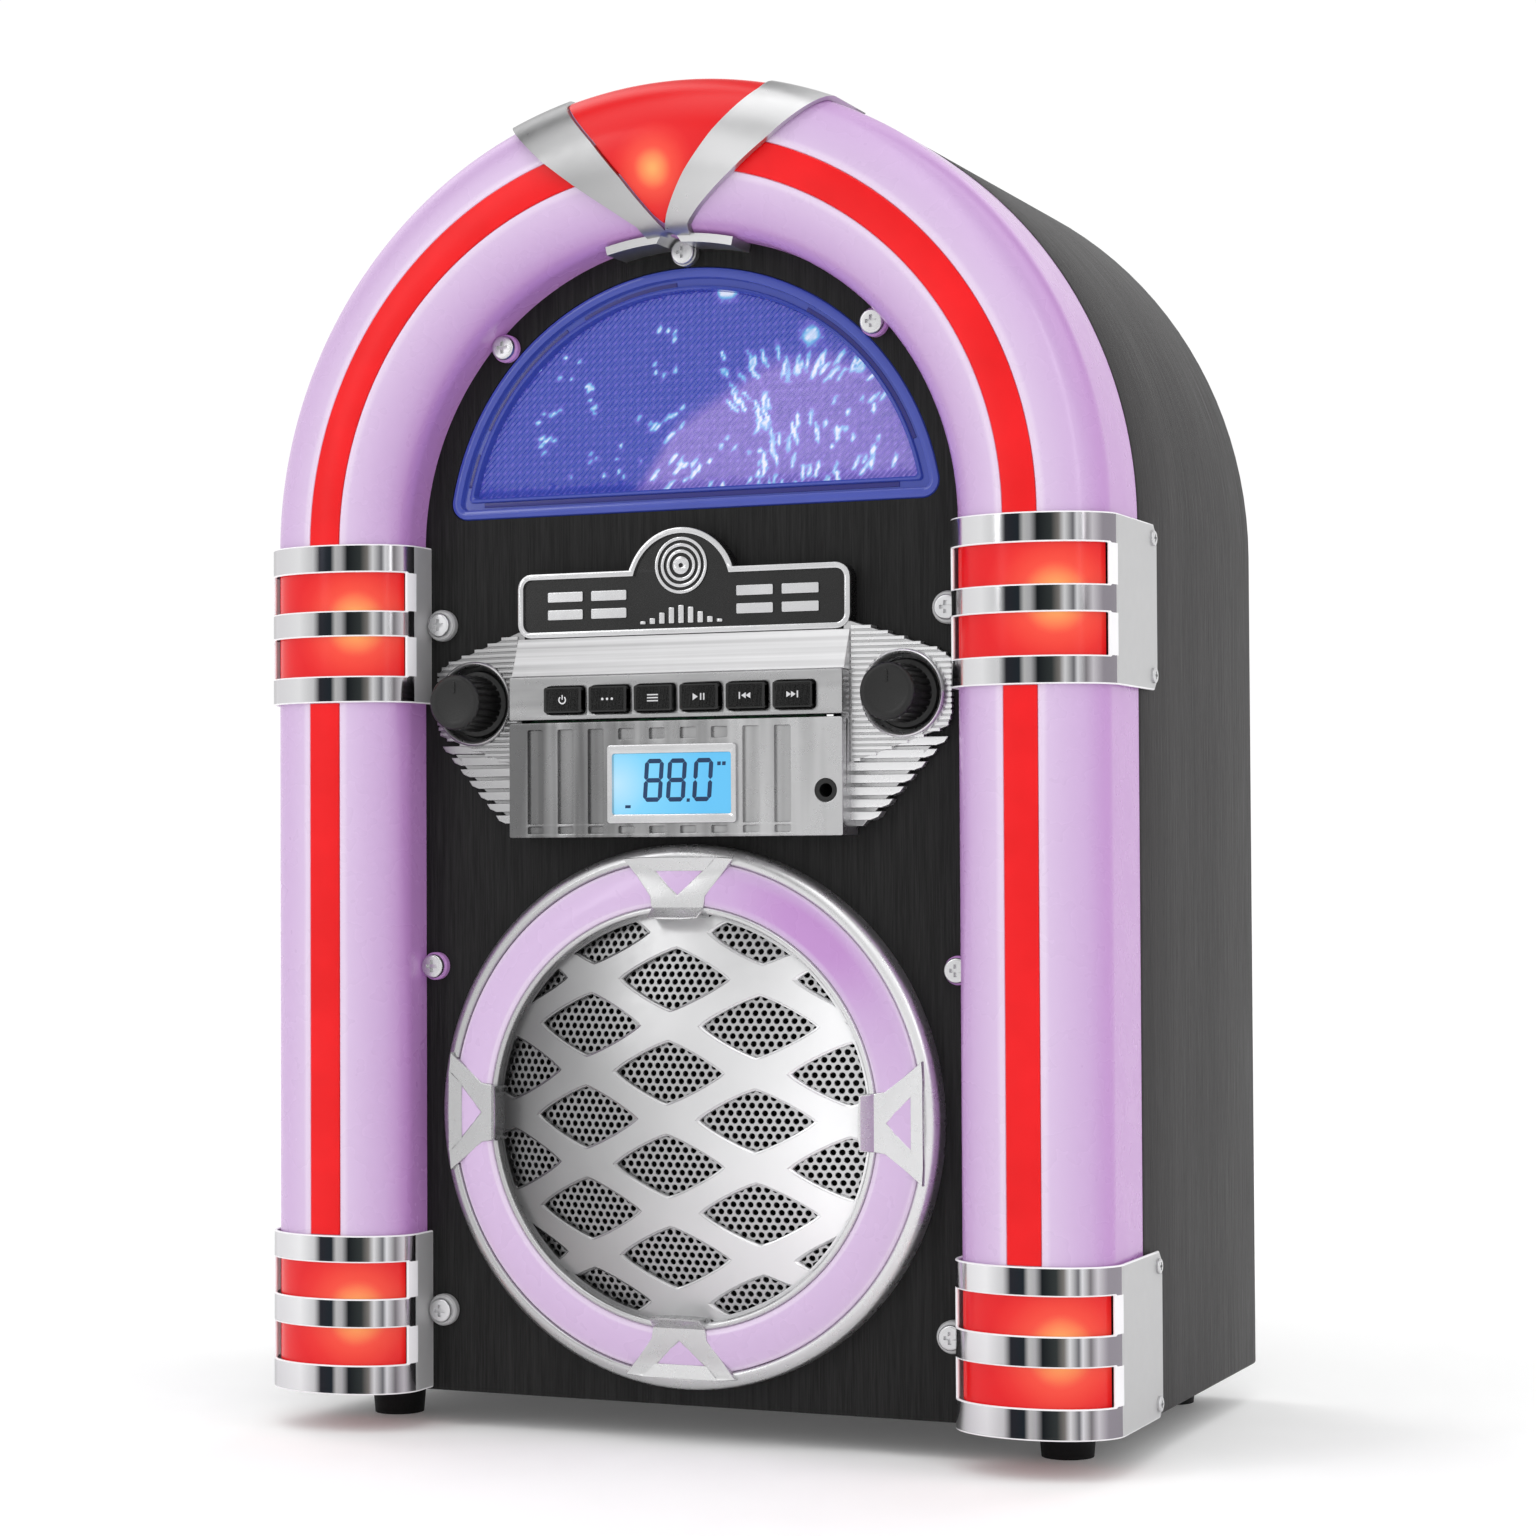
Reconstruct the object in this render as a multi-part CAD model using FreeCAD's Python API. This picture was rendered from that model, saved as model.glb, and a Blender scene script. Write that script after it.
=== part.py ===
import FreeCAD, Part
import math
import os

from FreeCAD import Vector

# Tabletop jukebox radio. Millimetres, +Z up, the front faces -Y, +X is to the viewer's right.
# Everything is drawn with the baffle's front face at y = 0, and moved at the end so that the
# origin is the centre of the footprint on the table.

# Cabinet: a wrap of board with a half-round top, a front baffle and an inset rear panel.
CABINET_HALF_WIDTH = 120.2
ARCH_Z = 241.0
CABINET_BOTTOM = 9.8
CABINET_REAR = 126.4
BOARD = 9.0
REBATE = 2.6
REAR_PANEL_THICKNESS = 6.0
REAR_INSET = 2.0
FIT_GAP = 0.1

# Light tubes: a U-shaped shell on two columns and around the arch.
TUBE_AXIS = 100.0
TUBE_HALF_WIDTH = 20.2
TUBE_DEPTH = 13.3
TUBE_MID_Y = -7.9
TUBE_WALL = 2.2
TUBE_SKIRT_Y = 15.6
TUBE_OVERLAP = 3.0
STRIPE_HALF_WIDTH = 4.46
STRIPE_GROOVE = 0.9
STRIPE_PROUD = 0.3

# Plated bands that clasp the tubes at the middle and at the foot of each column.
BAND_HALF_WIDTH = 22.15
BAND_DEPTH = 14.2
BAND_FLANGE_Y = 25.6
MID_BAND = (198.1, 241.3)
BASE_BAND = (10.4, 53.4)
MID_WINDOWS = ((205.4, 216.1), (223.2, 233.6))
BASE_WINDOWS = ((18.4, 28.4), (36.3, 46.0))
WINDOW_END_Y = -12.0

# Screw ears.
EAR_THICKNESS = 2.2
EAR_RADIUS = 3.8
COLUMN_EAR = (76.3, 126.0)
ARCH_EAR_RADIUS = 76.4
ARCH_EAR_ANGLE = 45.0
BAND_EAR_X = 74.1
BAND_EAR_RADIUS = 4.3

# Crown on the top of the arch.
CROWN_PROUD = 2.5
CROWN_SIDE_PROUD = 1.6
WEDGE_PROUD = 1.2
WEDGE_SIDE_PROUD = 0.8
CROWN_EAR_Z = 317.2

# Dome window.
DOME_RADIUS = 72.5
DOME_FLAT_Z = 248.6
DOME_CORNER = 4.6
DOME_FACE_Y = -0.4

# Nameplate above the control panel.
PLATE_HALF_WIDTH = 48.5
PLATE_BOTTOM = 214.9
PLATE_TOP = 232.4
PLATE_BUMP_RADIUS = 16.0
PLATE_BUMP_Z = 227.4
PLATE_FRONT = -5.5
PLATE_BORDER = 1.7

# Control panel.
PANEL_HALF_WIDTH = 48.4
PANEL_TOP = 214.8
PANEL_BOTTOM = 160.9
PANEL_FRONT = -11.0
PANEL_WALL = 2.0
STRIP_TOP = 204.2
STRIP_BOTTOM = 192.4
WING_X = 75.4
LCD_Z = 175.0
LCD_FRAME = (37.5, 21.0)
LCD_WINDOW = (34.3, 16.0)
JACK = (43.6, 172.7)
JACK_BORE_RADIUS = 1.8
JACK_BORE_DEPTH = 13.5

# Knobs and buttons.
KNOB_X = 62.5
KNOB_Z = 197.7
KNOB_SKIRT_RADIUS = 9.3
KNOB_RADIUS = 7.5
KNOB_FRONT = -16.3
SHAFT_RADIUS = 3.0
SHAFT_GAP = 0.05
BUTTON_NAMES = ("power", "mode", "memory", "play", "previous", "next")
BUTTON_WIDTH = 11.0
BUTTON_HEIGHT = 6.8
BUTTON_PITCH = 13.3
BUTTON_GROUP_X = 1.8
BUTTON_FRONT = -12.8
BUTTON_GAP = 0.3

# Loudspeaker and its grille.
SPEAKER_Z = 86.8
RING_OUTER = 72.2
RING_INNER = 67.0
DIFFUSER_INNER = 56.0
GRILLE_INNER = 53.5
LATTICE_SPHERE = 152.0
LATTICE_APEX = -15.8
LATTICE_THICKNESS = 1.6
DIAMOND_PITCH_X = 48.8
DIAMOND_PITCH_Z = 24.4
DIAMOND_HALF = (14.0, 7.4)
BAFFLE_HOLE_RADIUS = 47.0

# Feet.
FOOT_RADIUS = 7.75
FOOT_X = 98.6
FOOT_Y = (18.0, 112.0)

Y_AXIS = Vector(0, 1, 0)
Z_AXIS = Vector(0, 0, 1)
FRONT_EDGE = TUBE_MID_Y - TUBE_DEPTH - CROWN_PROUD
CENTRING = Vector(0, -(CABINET_REAR + FRONT_EDGE) / 2, 0)


# ---------------------------------------------------------------- small helpers

def box(x_range, y_range, z_range):
    sizes = [high - low for low, high in (x_range, y_range, z_range)]
    return Part.makeBox(*sizes, Vector(x_range[0], y_range[0], z_range[0]))


def rod(x, z, radius, y0, y1):
    return Part.makeCylinder(radius, y1 - y0, Vector(x, y0, z), Y_AXIS)


def tube(x, z, outer, inner, y0, y1):
    return rod(x, z, outer, y0, y1).cut(rod(x, z, inner, y0 - 1, y1 + 1))


def post(x, y, radius, z0, z1):
    return Part.makeCylinder(radius, z1 - z0, Vector(x, y, z0), Z_AXIS)


def xz_prism(outline, y0, y1):
    points = [Vector(x, y0, z) for x, z in outline]
    return Part.Face(Part.makePolygon(points + points[:1])).extrude(Vector(0, y1 - y0, 0))


def yz_prism(outline, x0, x1):
    points = [Vector(x0, y, z) for y, z in outline]
    return Part.Face(Part.makePolygon(points + points[:1])).extrude(Vector(x1 - x0, 0, 0))


def joined(first, *others):
    return first.fuse(list(others)).removeSplitter()


def mirrored(shape):
    return shape.mirror(Vector(0, 0, 0), Vector(1, 0, 0))


def both_sides(shapes):
    return list(shapes) + [mirrored(shape) for shape in shapes]


def swung(shape, degrees):
    """Turn a shape round the arch, from the right-hand springing point towards the top."""
    copy = shape.copy()
    copy.rotate(Vector(0, 0, ARCH_Z), Vector(0, -1, 0), degrees)
    return copy


def rounded_box(x_range, y_range, z_range, radius):
    """A box whose four edges along Y are rounded."""
    block = box(x_range, y_range, z_range)
    length = y_range[1] - y_range[0]
    edges = [edge for edge in block.Edges if runs_along_y(edge, length)]
    return block.makeFillet(radius, edges)


def runs_along_y(edge, length):
    start, end = edge.Vertexes[0].Point, edge.Vertexes[-1].Point
    return abs(abs(end.y - start.y) - length) < 1e-6 and abs(edge.Length - length) < 1e-6


def arch_plate(half_width, bottom, y0, y1):
    """A plate with a half-round top, as wide as the arch is."""
    corners = [Vector(x, y0, z) for x, z in (
        (-half_width, ARCH_Z), (-half_width, bottom), (half_width, bottom), (half_width, ARCH_Z))]
    top = Part.Arc(corners[3], Vector(0, y0, ARCH_Z + half_width), corners[0]).toShape()
    outline = Part.Wire(Part.makePolygon(corners).Edges + [top])
    return Part.Face(outline).extrude(Vector(0, y1 - y0, 0))


def front_arc(half_width, depth):
    """The half ellipse of a tube's front, in the plane z = 0 about x = 0."""
    middle = Vector(0, TUBE_MID_Y, 0)
    ellipse = Part.Ellipse(middle + Vector(half_width, 0, 0), middle + Vector(0, depth, 0), middle)
    return Part.ArcOfEllipse(ellipse, math.pi, 2 * math.pi).toShape()


def u_section(outer, inner, inner_back, outer_back):
    """A U-shaped section; outer and inner are (half width, depth) of its two ellipses."""
    left, right = -outer[0], outer[0]
    rear = [Vector(right, TUBE_MID_Y, 0), Vector(right, outer_back, 0),
            Vector(inner[0], outer_back, 0), Vector(inner[0], TUBE_MID_Y, 0)]
    front = [Vector(-inner[0], TUBE_MID_Y, 0), Vector(-inner[0], inner_back, 0),
             Vector(left, inner_back, 0), Vector(left, TUBE_MID_Y, 0)]
    edges = Part.makePolygon(rear).Edges + [front_arc(*inner)]
    edges += Part.makePolygon(front).Edges + [front_arc(*outer)]
    face = Part.Face(Part.Wire(Part.__sortEdges__(edges)))
    face.translate(Vector(TUBE_AXIS, 0, 0))
    return face


def filled_section(half_width, depth):
    """The whole area inside a tube's section, back to the baffle."""
    corners = [Vector(half_width, TUBE_MID_Y, 0), Vector(half_width, 0, 0),
               Vector(-half_width, 0, 0), Vector(-half_width, TUBE_MID_Y, 0)]
    edges = Part.makePolygon(corners).Edges + [front_arc(half_width, depth)]
    face = Part.Face(Part.Wire(Part.__sortEdges__(edges)))
    face.translate(Vector(TUBE_AXIS, 0, 0))
    return face


def tube_front(u):
    """y of the tube's front surface at a distance u from its centre line."""
    return TUBE_MID_Y - TUBE_DEPTH * math.sqrt(1 - (u / TUBE_HALF_WIDTH) ** 2)


def strip_section(half_width, front, back):
    """A strip that follows the tube's front, from `front` proud of it to `back` below it."""
    edge_y, top_y = tube_front(half_width), tube_front(0)
    corners = [Vector(-half_width, edge_y - front, 0), Vector(half_width, edge_y - front, 0),
               Vector(half_width, edge_y + back, 0), Vector(-half_width, edge_y + back, 0)]
    fore = Part.Arc(corners[0], Vector(0, top_y - front, 0), corners[1]).toShape()
    rear = Part.Arc(corners[2], Vector(0, top_y + back, 0), corners[3]).toShape()
    sides = [Part.LineSegment(corners[1], corners[2]).toShape(),
             Part.LineSegment(corners[3], corners[0]).toShape()]
    face = Part.Face(Part.Wire([fore, sides[0], rear, sides[1]]))
    face.translate(Vector(TUBE_AXIS, 0, 0))
    return face


def column(face, z0, z1):
    copy = face.copy()
    copy.translate(Vector(0, 0, z0))
    return copy.extrude(Vector(0, 0, z1 - z0))


def arch(face, start, stop):
    """The section swept round the arch between two angles from the springing line."""
    copy = face.copy()
    copy.translate(Vector(0, 0, ARCH_Z))
    return swung(copy, start).revolve(Vector(0, 0, ARCH_Z), Vector(0, -1, 0), stop - start)


def ear(x, z, reach, radius):
    """A screw ear on the left of a flank that is `reach` away, pierced for its screw."""
    disc = rod(x, z, radius, -EAR_THICKNESS, 0)
    neck = box((x, x + reach), (-EAR_THICKNESS, 0), (z - radius * 0.8, z + radius * 0.8))
    return disc.fuse(neck).cut(rod(x, z, 1.6, -EAR_THICKNESS - 1, 1))


def screw(head_radius, head_height, shank_radius, length):
    """A pan-head screw on the Y axis: the head's underside is at y = 0, the shank points to +Y."""
    head = Part.makeCylinder(head_radius, head_height, Vector(0, -head_height, 0), Y_AXIS)
    rim = [edge for edge in head.Edges if edge.Vertexes[0].Point.y < -head_height / 2
           and edge.Length > head_radius]
    head = head.makeFillet(head_height * 0.45, rim[:1])
    slots = [box((-w / 2, w / 2), (-head_height - 1, -head_height * 0.35), (-h / 2, h / 2))
             for w, h in ((head_radius * 0.3, head_radius), (head_radius, head_radius * 0.3))]
    return head.cut(slots).fuse(Part.makeCylinder(shank_radius, length, Vector(0, 0, 0), Y_AXIS))


def placed(shape, x, y, z):
    copy = shape.copy()
    copy.translate(Vector(x, y, z))
    return copy


# ---------------------------------------------------------------- cabinet

def cabinet_shell():
    body = arch_plate(CABINET_HALF_WIDTH, CABINET_BOTTOM, TUBE_SKIRT_Y, CABINET_REAR)
    front = arch_plate(CABINET_HALF_WIDTH - REBATE, CABINET_BOTTOM, BOARD, TUBE_SKIRT_Y)
    inside = arch_plate(CABINET_HALF_WIDTH - BOARD, CABINET_BOTTOM + BOARD, 0, CABINET_REAR + 1)
    holes = [post(x, y, 1.5, CABINET_BOTTOM - 1, CABINET_BOTTOM + BOARD - 1)
             for x, y in foot_places()]
    side_holes = [Part.makeCylinder(1.1, 7, Vector(CABINET_HALF_WIDTH - 6, y, z), Vector(1, 0, 0))
                  for y, z in side_screw_places()]
    return joined(body, front).cut([inside] + holes + both_sides(side_holes))


def front_baffle():
    plate = arch_plate(CABINET_HALF_WIDTH - REBATE, CABINET_BOTTOM, 0, BOARD)
    dome = dome_plate(-0.15, -1, BOARD + 1)
    panel = box((-47.2, 47.2), (-1, BOARD + 1), (164.5, 203.2))
    knobs = [rod(x, KNOB_Z, 12.2, -1, BOARD + 1) for x in (-KNOB_X, KNOB_X)]
    speaker = rod(0, SPEAKER_Z, BAFFLE_HOLE_RADIUS, -1, BOARD + 1)
    screws = [rod(x, z, 1.45, -1, BOARD - 1) for x, z in trim_screw_places()]
    rear = [rod(x, z, 1.45, 2, BOARD + 1) for x, z in speaker_screw_places()]
    return plate.cut([dome, panel, speaker] + knobs + screws + rear)


def rear_panel():
    y0 = CABINET_REAR - REAR_INSET - REAR_PANEL_THICKNESS
    y1 = CABINET_REAR - REAR_INSET
    half = CABINET_HALF_WIDTH - BOARD - FIT_GAP
    plate = arch_plate(half, CABINET_BOTTOM + BOARD + FIT_GAP, y0, y1)
    opening = box((-27, 27), (y0 - 1, y1 + 1), (46, 74))
    slots = [rounded_box((x - 26, x + 26), (y0 - 1, y1 + 1), (z, z + 4), 1.9)
             for x in (-32, 32) for z in (196, 206, 216, 226)]
    holes = [rod(x, z, 1.45, y0 - 1, y1 + 1) for x, z in rear_screw_places()]
    return plate.cut([opening] + slots + holes)


def corner_cleats():
    """Blocks glued inside the wrap that the rear panel is screwed to."""
    y1 = CABINET_REAR - REAR_INSET - REAR_PANEL_THICKNESS
    cleats = []
    wall = arch_plate(CABINET_HALF_WIDTH - BOARD, CABINET_BOTTOM + BOARD, y1 - 20, y1)
    for x, z in rear_screw_places():
        block = box((x - 9, x + 9), (y1 - 16, y1), (z - 9, z + 9)).common(wall)
        cleats.append(block.cut(rod(x, z, 1.45, y1 - 14, y1 + 1)))
    return Part.Compound(cleats)


def rear_screw_places():
    low = [(x, z) for x in (-104.0, 104.0) for z in (26.0, 110.0, 196.0)]
    high = [(x, ARCH_Z + 73.5) for x in (-73.5, 73.5)]
    return low + high


def foot_places():
    return [(x, y) for x in (-FOOT_X, FOOT_X) for y in FOOT_Y]


def rubber_feet():
    feet = []
    for x, y in foot_places():
        foot = Part.makeCone(FOOT_RADIUS - 0.9, FOOT_RADIUS, CABINET_BOTTOM, Vector(x, y, 0))
        recess = post(x, y, 3.6, -1, 4).fuse(post(x, y, 1.6, -1, CABINET_BOTTOM + 1))
        feet.append(foot.cut(recess))
    return Part.Compound(feet)


# ---------------------------------------------------------------- light tubes

def tube_section():
    outer = (TUBE_HALF_WIDTH, TUBE_DEPTH)
    inner = (TUBE_HALF_WIDTH - TUBE_WALL, TUBE_DEPTH - TUBE_WALL)
    section = u_section(outer, inner, 0, TUBE_SKIRT_Y - FIT_GAP)
    return section.cut(strip_section(STRIPE_HALF_WIDTH + 0.3, 3.0, STRIPE_GROOVE)).Faces[0]


def stripe_section():
    return strip_section(STRIPE_HALF_WIDTH, STRIPE_PROUD, STRIPE_GROOVE - 0.05)


def column_range():
    return BASE_BAND[1] - TUBE_OVERLAP, MID_BAND[0] + TUBE_OVERLAP


def column_tube():
    x, z = COLUMN_EAR
    shell = column(tube_section(), *column_range())
    return joined(shell, ear(x, z, 4.5, EAR_RADIUS))


def arch_tube():
    foot = column(tube_section(), MID_BAND[1] - TUBE_OVERLAP, ARCH_Z)
    lug = swung(ear(ARCH_EAR_RADIUS, ARCH_Z, 4.5, EAR_RADIUS), ARCH_EAR_ANGLE)
    return joined(arch(tube_section(), 0, 90), foot, lug)


def column_stripe():
    return column(stripe_section(), BASE_BAND[1] + FIT_GAP, MID_BAND[0] - FIT_GAP)


def arch_stripe():
    """The stripe starts at the band's top edge, which is a little above the springing line."""
    start = math.degrees((MID_BAND[1] + FIT_GAP - ARCH_Z) / TUBE_AXIS)
    return arch(stripe_section(), start, 90)


# ---------------------------------------------------------------- bands

def band_z(which, share):
    return which[0] + (which[1] - which[0]) * share


def side_screw_places():
    return [(BAND_FLANGE_Y - 4.2, z + step) for low, high in (MID_BAND, BASE_BAND)
            for z, step in ((low, 3.8), (high, -3.8))]


def band(span, windows):
    outer = (BAND_HALF_WIDTH, BAND_DEPTH)
    inner = (TUBE_HALF_WIDTH + FIT_GAP, TUBE_DEPTH + 0.05)
    shell = column(u_section(outer, inner, 0, BAND_FLANGE_Y), *span)
    lug = ear(BAND_EAR_X, band_z(span, 0.5), 4.5, BAND_EAR_RADIUS)
    x_range = (TUBE_AXIS - 24, TUBE_AXIS + 24)
    cuts = [box(x_range, (-30, WINDOW_END_Y), window) for window in windows]
    for z, side in ((span[1], -1), (span[0], 1)):
        corner = [(BAND_FLANGE_Y + 1, z - side), (BAND_FLANGE_Y + 1, z + 4 * side),
                  (BAND_FLANGE_Y - 4, z - side)]
        cuts.append(yz_prism(corner, TUBE_AXIS + 19, TUBE_AXIS + 24))
    cuts += [Part.makeCylinder(1.1, 9, Vector(TUBE_AXIS + 17, y, z), Vector(1, 0, 0))
             for y, z in side_screw_places() if span[0] < z < span[1]]
    return joined(shell, lug).cut(cuts)


def base_band():
    """The lower band is closed underneath."""
    area = filled_section(TUBE_HALF_WIDTH + 0.5, TUBE_DEPTH + 0.5)
    floor = column(area, BASE_BAND[0], BASE_BAND[0] + 1.6)
    return joined(band(BASE_BAND, BASE_WINDOWS), floor)


def band_lens(windows):
    """A red liner, flush with the light tube, that shows through a band's windows."""
    outer = (TUBE_HALF_WIDTH, TUBE_DEPTH)
    inner = (TUBE_HALF_WIDTH - TUBE_WALL, TUBE_DEPTH - TUBE_WALL)
    return column(u_section(outer, inner, -1, -1), windows[0][0] - 3.0, windows[1][1] + 3.0)


# ---------------------------------------------------------------- crown

def crown_section(half_width, depth, outer_back):
    inner = (TUBE_HALF_WIDTH + 0.15, TUBE_DEPTH + STRIPE_PROUD + 0.1)
    return u_section((half_width, depth), inner, -1.0, outer_back)


def crown_arms():
    """The outlines of the V's right arm and of the wedge between the arms."""
    inner_edge = [(2.2, 324.4), (9.3, 334.4), (17.5, 344.4), (28.1, 355.8), (33.0, 368.0)]
    outer_edge = [(52.0, 366.0), (46.4, 353.4), (32.3, 340.7), (22.8, 333.4), (12.5, 326.0),
                  (7.4, 322.2), (4.5, 316.0)]
    arm = [(0.0, 321.0)] + inner_edge + outer_edge + [(0.0, 316.0)]
    wedge = [(0.0, 323.0)] + [(x - 0.4, z + 0.3) for x, z in inner_edge]
    wedge += [(-x, z) for x, z in reversed(wedge[1:])]
    return arm, wedge


def crown_trim():
    section = crown_section(TUBE_HALF_WIDTH + CROWN_SIDE_PROUD, TUBE_DEPTH + CROWN_PROUD, 13.0)
    sweep = arch(section, 64, 90)
    arm = sweep.common(xz_prism(crown_arms()[0], -40, 40))
    fin = arch(fin_section(), 76.5, 90)
    tab = rod(0, CROWN_EAR_Z, EAR_RADIUS - 0.2, -EAR_THICKNESS, 0)
    tab = tab.fuse(box((-3.4, 3.4), (-EAR_THICKNESS, 0), (CROWN_EAR_Z, ARCH_Z + 79.5)))
    halves = both_sides([arm, fin])
    head_room = rod(0, CROWN_EAR_Z, 3.6, -20, -EAR_THICKNESS)
    return joined(halves[0], *halves[1:], tab).cut([head_room, rod(0, CROWN_EAR_Z, 1.6, -20, 1)])


def fin_section():
    """The thin rail under the V, that lies along the inside of the arch."""
    low = TUBE_AXIS - TUBE_HALF_WIDTH - 2.5
    points = [Vector(x, y, 0) for x, y in ((low, -12.0), (low + 2.3, -12.0), (low + 2.3, 0), (low, 0))]
    return Part.Face(Part.makePolygon(points + points[:1]))


def crown_lens():
    section = crown_section(TUBE_HALF_WIDTH + WEDGE_SIDE_PROUD, TUBE_DEPTH + WEDGE_PROUD, 6.0)
    sweep = arch(section, 70, 110)
    return sweep.common(xz_prism(crown_arms()[1], -40, 40))


# ---------------------------------------------------------------- dome window

def dome_plate(inset, y0, y1):
    """The dome window's outline, moved inwards by `inset`, as a plate from y0 to y1."""
    disc = rod(0, ARCH_Z, DOME_RADIUS - inset, y0, y1)
    keep = box((-90, 90), (y0 - 1, y1 + 1), (DOME_FLAT_Z + inset, ARCH_Z + 90))
    plate = disc.common(keep)
    corners = [edge for edge in plate.Edges if runs_along_y(edge, y1 - y0)
               and abs(edge.Vertexes[0].Point.z - DOME_FLAT_Z - inset) < 0.01]
    return plate.makeFillet(max(DOME_CORNER - inset, 1.0), corners)


def dome_lens():
    """A blue tray: its face stands in the baffle's opening and its flange lies behind it."""
    wall = 1.6
    face = dome_plate(0, DOME_FACE_Y, BOARD + FIT_GAP)
    hollow = dome_plate(wall, DOME_FACE_Y + wall, BOARD + 5)
    flange = dome_plate(-4.5, BOARD + FIT_GAP, BOARD + 1.7).cut(hollow)
    return joined(face.cut(hollow), flange)


def dome_prism_sheet():
    """A clear sheet inside the tray, cut with prisms on its front."""
    return dome_plate(2.2, 5.0, 6.8)


def dome_led_board():
    board = box((-58, 58), (15.0, 16.6), (254, 262))
    chips = [box((x - 2.5, x + 2.5), (13.4, 15.0), (255.5, 260.5)) for x in range(-50, 51, 20)]
    return joined(board, *chips)


# ---------------------------------------------------------------- nameplate

def nameplate_outline(inset, y0, y1):
    bar = rounded_box((inset - PLATE_HALF_WIDTH, PLATE_HALF_WIDTH - inset), (y0, y1),
                      (PLATE_BOTTOM + inset, PLATE_TOP - inset), 4.0 - inset)
    bump = rod(0, PLATE_BUMP_Z, PLATE_BUMP_RADIUS - inset, y0, y1)
    above = box((-20, 20), (y0 - 1, y1 + 1), (PLATE_BOTTOM + inset, PLATE_TOP + 20))
    return joined(bar, bump.common(above))


def nameplate():
    return nameplate_outline(0, PLATE_FRONT + 0.9, 0)


def nameplate_trim():
    """A border, eight bars, a plain disc record and a row of level bars."""
    y0, y1 = PLATE_FRONT, PLATE_FRONT + 0.9
    border = nameplate_outline(0, y0, y1).cut(nameplate_outline(PLATE_BORDER, y0 - 1, y1 + 1))
    y0 += 0.4
    bars = [box((x - 5.25, x + 5.25), (y0, y1), (z - 1.35, z + 1.35))
            for x in (-34.3, -21.3, 21.3, 34.3) for z in (221.1, 225.9)]
    record = [tube(0, 233.2, radius, radius - 0.9, y0, y1) for radius in (7.6, 5.9, 4.2)]
    label = [tube(0, 233.2, 2.4, 0.6, y0, y1)]
    levels = [box((x - 0.8, x + 0.8), (y0, y1), (217.8, 218.6 + 4.0 * math.cos(x / 7.5) ** 2))
              for x in (-11.2, -8.4, -5.6, -2.8, 0.0, 2.8, 5.6, 8.4, 11.2)]
    return Part.Compound([border] + bars + record + label + levels)


# ---------------------------------------------------------------- control panel

def wing_front(x):
    """y of the wing's sloping face at a distance x from the centre."""
    return -5.4 + (x - PANEL_HALF_WIDTH) * 3.4 / (WING_X - PANEL_HALF_WIDTH)


def behind_wing_face(set_back):
    """Everything behind a wing's sloping face, set back by a small step."""
    points = [Vector(x, y, 150) for x, y in (
        (40, wing_front(40) + set_back), (80, wing_front(80) + set_back), (80, 20), (40, 20))]
    return Part.Face(Part.makePolygon(points + points[:1])).extrude(Vector(0, 0, 80))


def wing():
    """The right wing: a ribbed slope round the knob, above a stack of pointed slats."""
    outline = [(46, PANEL_TOP), (48.8, PANEL_TOP), (48.8, 217.4), (72, 209.4), (WING_X, 207.0),
               (WING_X, 191.8), (74, 188.4), (51.5, 180.4), (46, 178.6)]
    upper = xz_prism(outline, -8, 0).common(behind_wing_face(0))
    ribs = [box((49.4, 74.2), (-8, wing_front(49)), (z, z + 0.7)) for z in rib_heights()]
    upper = upper.cut([rib.common(behind_wing_face(-2).cut(behind_wing_face(0.6))) for rib in ribs])
    lower = [slat(z) for z in slat_heights()]
    backing = [(46, 184.0), (69.5, 184.0), (50.5, 163.4), (46, 163.4)]
    lower.append(xz_prism(backing, -2.2, 0).common(behind_wing_face(2.2)))
    cup = rod(KNOB_X, KNOB_Z, 11.8, -1.5, 2.0)
    recess = rod(KNOB_X, KNOB_Z, 10.0, -12, -0.5).fuse(rod(KNOB_X, KNOB_Z, 3.55, -12, 3))
    return joined(upper, *lower, cup).cut(recess)


def rib_heights():
    return [182.0 + 1.5 * step for step in range(19)]


def slat_heights():
    return [186.4 - 3.2 * step for step in range(7)]


def slat(top):
    tip = 73.0 - 0.91 * (185.4 - top)
    outline = [(46, top), (tip, top), (tip - 1.1, top - 1.5), (tip - 3.2, top - 2.3), (46, top - 2.3)]
    return xz_prism(outline, -8, 0).common(behind_wing_face(0.8))


def control_panel():
    profile = [(-5.4, PANEL_TOP), (-9.6, STRIP_TOP + 0.8), (-9.6, STRIP_TOP), (PANEL_FRONT, STRIP_TOP),
               (PANEL_FRONT, STRIP_BOTTOM), (-10.2, STRIP_BOTTOM), (-10.2, STRIP_BOTTOM - 0.6),
               (PANEL_FRONT, STRIP_BOTTOM - 0.6), (PANEL_FRONT, PANEL_BOTTOM + 0.8),
               (PANEL_FRONT + 0.8, PANEL_BOTTOM), (0, PANEL_BOTTOM), (0, PANEL_TOP)]
    block = yz_prism(profile, -PANEL_HALF_WIDTH, PANEL_HALF_WIDTH)
    wings = both_sides([wing()])
    body = joined(block, *wings)
    pocket = box((-47, 47), (PANEL_FRONT + PANEL_WALL, 3), (PANEL_BOTTOM + 2, 203.0))
    cuts = [pocket, lcd_opening()] + panel_channels()
    cuts += [button_hole(x) for x in button_places()]
    cuts.append(rod(JACK[0], JACK[1], 3.1, -20, 0))
    return body.cut(cuts)


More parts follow.
